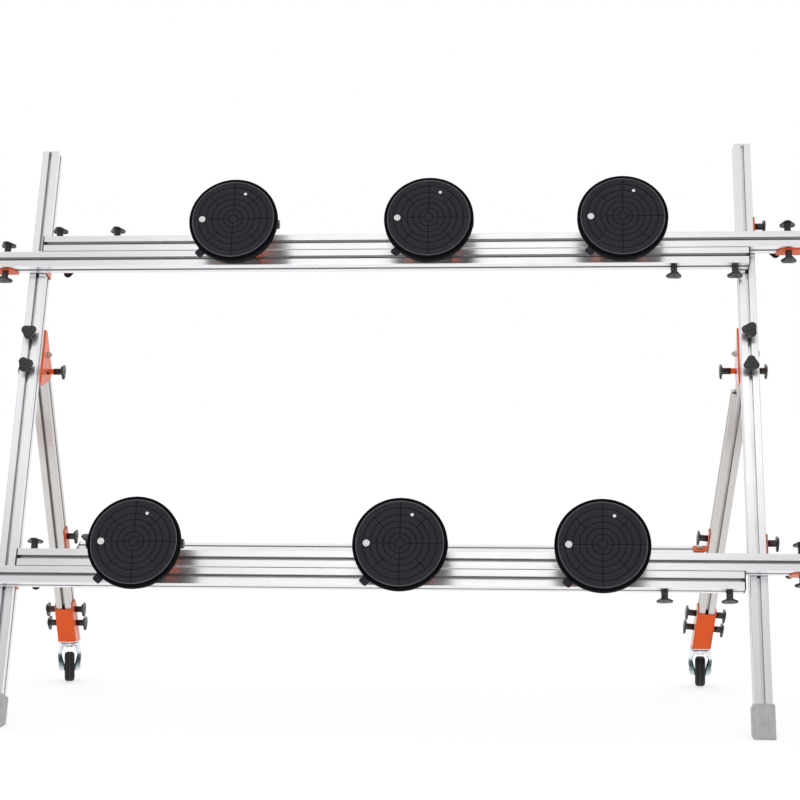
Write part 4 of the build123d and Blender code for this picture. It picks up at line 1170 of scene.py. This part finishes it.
class TILE_FRAME_OT_casters(bpy.types.Operator):
    """Press the caster forks, turn the ball races and mould the wheels"""

    bl_idname = "tile_frame.casters"
    bl_label = "Casters"

    def execute(self, context):
        for side in SIDES:
            swivel = Vector(joints[f"caster_swivel_{side}"]["pos_m"])
            axle = Vector(joints[f"wheel_spin_{side}"]["pos_m"])
            axle_way = Vector(joints[f"wheel_spin_{side}"]["axis"]).normalized()
            self.add_fork(side, swivel, axle)
            self.add_wheel(side, axle, axle_way)
        bent_copy(
            "caster_races", "caster_kingpins", "race_zinc", 0.0007, 0.0006, 0.003, 0.0015)
        return {"FINISHED"}

    def add_fork(self, side, swivel, axle):
        """One fork: dished crown, two pressed cheeks that bulge past the wheel, and the axle."""
        node = f"caster_fork_{side}"
        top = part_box(node)[1].z
        lead = axle - swivel
        trail = math.hypot(lead.x, lead.y)
        heading = Matrix.Rotation(math.atan2(-lead.x, lead.y), 4, "Z")
        base = Matrix.Translation((swivel.x, swivel.y, 0)) @ heading
        upright = Vector((0, 0, 1))
        form = bmesh.new()
        lathe(form, softened([
            (0.0052, top), (0.0215, top), (0.0225, top - 0.0006), (0.0262, top - 0.0012),
            (0.0274, top - 0.0036), (0.0274, top - 0.0064), (0.0244, top - 0.0064),
            (0.0240, top - 0.0088), (0.0052, top - 0.0088), (0.0052, top)], 0.0010), base, 64)
        for hand in (-1, 1):
            self.add_cheek(form, base, hand, top - 0.0050, trail, axle.z)
            spot = base @ frame_at(Vector((hand * 0.0240, trail, axle.z)), along * hand, upright)
            lathe(form, softened([
                (0.0, 0.0), (0.0068, 0.0), (0.0068, 0.0016), (0.0060, 0.0018), (0.0060, 0.0036),
                (0.0050, 0.0046), (0.0, 0.0048)], 0.0006), spot, 30)
        rod = base @ frame_at(Vector((-0.0245, trail, axle.z)), along, upright)
        lathe(form, [(0.0, 0.0), (0.004, 0.0), (0.004, 0.049), (0.0, 0.049)], rod, 24)
        closed_outward(form)
        piece = make_piece(
            f"{node}_pressed", form, ["fork_zinc", "cheek_zinc"], body_of(node), [node])
        flat_shading(piece)

    def add_cheek(self, form, base, hand, crown, trail, axle):
        """One pressed cheek, from the crown's curve to a round foot at the axle."""
        rows, columns = 26, 17
        sheet = 0.0028
        foot = axle - 0.0099
        foot_radius = 0.0100
        # The cheek is flat below the first height, and its edges curl in below the second
        flat_from = 0.046
        curl_from, curl_span = 0.078, 0.018
        crown_radius, crown_half = 0.0268, math.radians(50)
        top_width, low_width, least_width = 0.0214, 0.0168, 0.0050
        flat_side, bulge_reach = 0.0248, 0.0040
        dish, lip = 0.0022, 0.0078
        layers = []
        for inset in (0.0, sheet):
            grid = []
            for i in range(rows):
                t = i / (rows - 1)
                z = crown * (1 - t) + foot * t
                settle = eased(min(1.0, (crown - z) / (crown - flat_from)))
                width = top_width * (1 - settle) + low_width * settle
                if z < axle:
                    round_off = 1 - ((axle - z) / foot_radius) ** 2
                    width = max(least_width, low_width * math.sqrt(max(1e-8, round_off)))
                bulge = bulge_reach * math.sin(math.pi * held((crown - z) / (crown - foot))) ** 2
                curl = eased(held((curl_from - z) / curl_span))
                line = []
                for j in range(columns):
                    v = 2 * j / (columns - 1) - 1
                    bow = crown_radius * math.cos(v * crown_half)
                    cup = (dish * v * v + lip * v ** 6 * curl) * settle
                    reach = bow * (1 - settle) + (flat_side - cup) * settle + bulge - inset
                    spot = Vector((hand * reach, trail * settle + v * width, z))
                    line.append(form.verts.new(base @ spot))
                grid.append(line)
            layers.append(grid)
        for grid in layers:
            for first, second in zip(grid, grid[1:]):
                bridge(form, first, second, 1, False)
        bridge(form, grid_rim(layers[0]), grid_rim(layers[1]), 1)

    def add_wheel(self, side, axle, axle_way):
        """One wheel: tyre with a centre rib and tread blocks, rim, web and plated bush."""
        node = f"caster_wheel_{side}"
        low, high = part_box(node)
        radius = (high.z - low.z) / 2
        blocks = sizes().tread_blocks
        steps = blocks * 4
        place = frame_at(axle, axle_way, Vector((0, 0, 1)))
        form = bmesh.new()
        # The centre rib's lighter finish is a painted highlight
        tyre, rib, hub, bush = range(4)
        # Distance from the middle, depth below the tread, finish and whether the tread is cut there
        half = (
            (0.0, 0.0, rib, False), (0.0006, 0.0, rib, False), (0.0009, 0.0006, rib, False),
            (0.0017, 0.0007, tyre, False), (0.0020, 0.0001, tyre, True), (0.0050, 0.0003, tyre, True),
            (0.0084, 0.0012, tyre, True), (0.0107, 0.0030, tyre, True), (0.0120, 0.0056, tyre, False),
            (0.0125, 0.0085, tyre, False), (0.0124, 0.0112, tyre, False), (0.0118, 0.0117, hub, False),
            (0.0112, 0.0121, hub, False), (0.0108, 0.0150, hub, False), (0.0070, 0.0162, hub, False),
            (0.0066, 0.0175, hub, False), (0.0066, 0.0235, hub, False), (0.0080, 0.0284, hub, False),
            (0.0100, 0.0293, bush, False), (0.0200, 0.0295, bush, False), (0.0204, 0.0299, bush, False),
            (0.0204, 0.0316, bush, False), (0.0198, 0.0321, bush, False), (0.0198, 0.0334, bush, False),
        )
        tread_cut = 0.0008
        bore = []
        for hand in (-1, 1):
            rings = []
            for off, drop, finish, tread in half:
                ring = []
                for k in range(steps):
                    angle = 2 * math.pi * k / steps
                    phase = (k + (2 if hand > 0 else 0)) % 4
                    r = radius - drop - (tread_cut if tread and phase == 0 else 0.0)
                    spot = Vector((r * math.cos(angle), r * math.sin(angle), hand * off))
                    ring.append(form.verts.new(place @ spot))
                rings.append((ring, finish))
            for (first, _), (second, finish) in zip(rings, rings[1:]):
                bridge(form, first, second, finish)
            bore.append(rings[-1][0])
        bridge(form, bore[0], bore[1], bush)
        bmesh.ops.remove_doubles(form, verts=form.verts, dist=SAME_POINT)
        closed_outward(form)
        make_piece(
            f"{node}_moulded", form, ["tyre_black", "tyre_rib_highlight", "hub_grey", "race_zinc"],
            body_of(node), [node])


class TILE_FRAME_OT_ends(bpy.types.Operator):
    """Finish the end caps and plates, rubber feet and ribbed hand grips"""

    bl_idname = "tile_frame.ends"
    bl_label = "Caps, feet and grips"

    def execute(self, context):
        ends = [(f"{bar}_cap_moulded", f"{bar}_cap", "cap_black", "cap_plastic") for bar in BARS]
        ends.append(("mast_end_plates", "mast_end_caps", "mast_silver", "anodised_bar"))
        for name, node, finish, slot in ends:
            bent_copy(name, node, finish, 0.0009, 0.0008, 0.003, 0.003)
        bent_copy(
            "mast_feet_moulded", "mast_feet", "foot_grey", 0.0014, 0.0012, 0.004, 0.003)
        for bar in BARS:
            self.add_grip(bar)
        self.add_stretcher_cap()
        return {"FINISHED"}

    def add_grip(self, bar):
        """One hand grip: collar, ribbed sleeve and rounded end."""
        node = f"{bar}_handle"
        low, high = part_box(node)
        way = 1 if bar.endswith("right") else -1
        start = Vector((low.x if way > 0 else high.x, (low.y + high.y) / 2, (low.z + high.z) / 2))
        full = high.x - low.x
        ribs = sizes().grip_ribs
        outline = [(0.0, 0.0), (0.019, 0.0), (0.019, 0.0072), (0.0176, 0.008), (0.0162, 0.0088)]
        first, last = 0.012, full - 0.016
        pitch = (last - first) / ribs
        for rib in range(ribs):
            z = first + rib * pitch
            outline += [
                (0.0160, z), (0.0168, z + pitch * 0.14), (0.0170, z + pitch * 0.45),
                (0.0168, z + pitch * 0.76), (0.0160, z + pitch * 0.9)]
        outline += [
            (0.0166, last + 0.001), (0.0170, full - 0.0092), (0.0166, full - 0.0055),
            (0.0148, full - 0.0022), (0.0118, full - 0.0004), (0.0085, full), (0.0030, full),
            (0.0022, full - 0.0008), (0.0, full - 0.0008)]
        form = bmesh.new()
        lathe(form, outline, frame_at(start, along * way, up_mast), 48)
        closed_outward(form)
        make_piece(f"{node}_ribbed", form, ["grip_black"], body_of(node), [node])

    def add_stretcher_cap(self):
        """The black cap on the free end of the stretcher."""
        low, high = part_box("stretcher")
        up_leg = leg_axes("left")[2]
        middle = Vector((low.x - 0.0015, (low.y + high.y) / 2, (low.z + high.z) / 2))
        place = frame_at(middle, -along, up_leg)
        form = bmesh.new()
        rounded_block(form, place, (0.0398, 0.0398, 0.0029), 0.0009)
        boss = [(0.0, 0.0010), (0.0052, 0.0010), (0.0052, 0.0016), (0.0040, 0.0019), (0.0, 0.0019)]
        lathe(form, softened(boss, 0.0003), place, 28)
        closed_outward(form)
        make_piece("stretcher_cap", form, ["cap_black"], "rear_frame")


class TILE_FRAME_OT_studio(bpy.types.Operator):
    """Set up the pale floor, the soft light and the camera"""

    bl_idname = "tile_frame.studio"
    bl_label = "Studio"

    def execute(self, context):
        scene = context.scene
        scene.view_settings.view_transform = "Standard"
        self.add_floor(scene)
        self.add_light(scene)
        self.add_camera(scene)
        return {"FINISHED"}

    def add_floor(self, scene):
        """A large pale floor."""
        form = bmesh.new()
        bmesh.ops.create_grid(form, x_segments=8, y_segments=8, size=45.0)
        mesh = bpy.data.meshes.new("studio_floor")
        form.to_mesh(mesh)
        form.free()
        mesh.materials.append(finish_of("studio_floor"))
        floor = bpy.data.objects.new("studio_floor", mesh)
        scene.collection.objects.link(floor)

    def add_light(self, scene):
        """White light from all round, fullest from the backdrop, with two lamps at the front."""
        settings = studio()
        world = bpy.data.worlds.new("studio_white")
        world.use_nodes = True
        scene.world = world
        tree = world.node_tree
        white = tree.nodes["Background"]
        white.inputs["Color"].default_value = (1, 1, 1, 1)
        source = tree.nodes.new("ShaderNodeTexCoord")
        parts = tree.nodes.new("ShaderNodeSeparateXYZ")
        path = tree.nodes.new("ShaderNodeLightPath")
        tree.links.new(source.outputs["Generated"], parts.inputs["Vector"])
        front = spread(tree, parts.outputs["Z"], settings.low_sky, settings.sky, 0.40, 0.74)
        around = spread(tree, parts.outputs["Y"], settings.sky, settings.backdrop, -0.35, 0.25)
        tree.links.new(front, around.node.inputs["To Min"])
        seen = spread(tree, path.outputs["Is Camera Ray"], settings.sky, settings.backdrop, 0.0, 1.0)
        tree.links.new(around, seen.node.inputs["To Min"])
        tree.links.new(seen, white.inputs["Strength"])
        target = Vector((0, 0, 0.7))
        lamps = (
            ("softbox_lamp", (-0.15, -3.77, 3.85), (2.7, 0.9), settings.softbox),
            ("key_lamp", (-0.2, -5.6, 0.7), (2.6, 1.3), settings.key),
        )
        for name, position, spans, power in lamps:
            lamp = bpy.data.lights.new(name, "AREA")
            lamp.shape = "RECTANGLE"
            lamp.size, lamp.size_y = spans
            lamp.energy = power
            holder = bpy.data.objects.new(name, lamp)
            holder.location = position
            holder.rotation_euler = (target - Vector(position)).to_track_quat("-Z", "Y").to_euler()
            scene.collection.objects.link(holder)

    def add_camera(self, scene):
        """The camera at the photograph's place and angle."""
        settings = studio()
        camera = bpy.data.cameras.new("studio_camera")
        camera.sensor_width = 36.0
        camera.lens = settings.lens
        camera.shift_y = settings.shift
        camera.clip_end = 200.0
        holder = bpy.data.objects.new("studio_camera", camera)
        yaw, pitch = settings.yaw, settings.pitch
        level = math.cos(pitch)
        view = Vector((-math.sin(yaw) * level, math.cos(yaw) * level, -math.sin(pitch)))
        holder.location = settings.position
        holder.rotation_euler = view.to_track_quat("-Z", "Y").to_euler()
        scene.collection.objects.link(holder)
        scene.camera = holder


class TILE_FRAME_PT_sidebar(bpy.types.Panel):
    """The steps and settings of the tile frame"""

    bl_idname = "TILE_FRAME_PT_sidebar"
    bl_label = "Tile Frame"
    bl_space_type = "VIEW_3D"
    bl_region_type = "UI"
    bl_category = "Tile Frame"

    def draw(self, context):
        layout = self.layout
        for step in STEPS:
            layout.operator(step.bl_idname)
        for group in (sizes(), colours(), studio()):
            box = layout.box()
            for key in group.bl_rna.properties.keys():
                if key not in {"rna_type", "name"}:
                    box.prop(group, key)


STEPS = (
    TILE_FRAME_OT_bars,
    TILE_FRAME_OT_brackets,
    TILE_FRAME_OT_knobs,
    TILE_FRAME_OT_bolts,
    TILE_FRAME_OT_pads,
    TILE_FRAME_OT_pumps,
    TILE_FRAME_OT_casters,
    TILE_FRAME_OT_ends,
    TILE_FRAME_OT_studio,
)
GROUPS = (FrameSizes, FrameColours, StudioSettings)


def register():
    """Register the settings, the steps and the panel."""
    for kind in GROUPS + STEPS + (TILE_FRAME_PT_sidebar,):
        bpy.utils.register_class(kind)
    bpy.types.Scene.tile_frame_sizes = PointerProperty(type=FrameSizes)
    bpy.types.Scene.tile_frame_colours = PointerProperty(type=FrameColours)
    bpy.types.Scene.tile_frame_studio = PointerProperty(type=StudioSettings)


def unregister():
    """Remove the settings, the steps and the panel."""
    del bpy.types.Scene.tile_frame_studio
    del bpy.types.Scene.tile_frame_colours
    del bpy.types.Scene.tile_frame_sizes
    for kind in reversed(GROUPS + STEPS + (TILE_FRAME_PT_sidebar,)):
        bpy.utils.unregister_class(kind)


def main():
    """Run every step in order."""
    register()
    bpy.ops.tile_frame.bars()
    bpy.ops.tile_frame.brackets()
    bpy.ops.tile_frame.knobs()
    bpy.ops.tile_frame.bolts()
    bpy.ops.tile_frame.pads()
    bpy.ops.tile_frame.pumps()
    bpy.ops.tile_frame.casters()
    bpy.ops.tile_frame.ends()
    bpy.ops.tile_frame.studio()


if __name__ == "__main__":
    main()
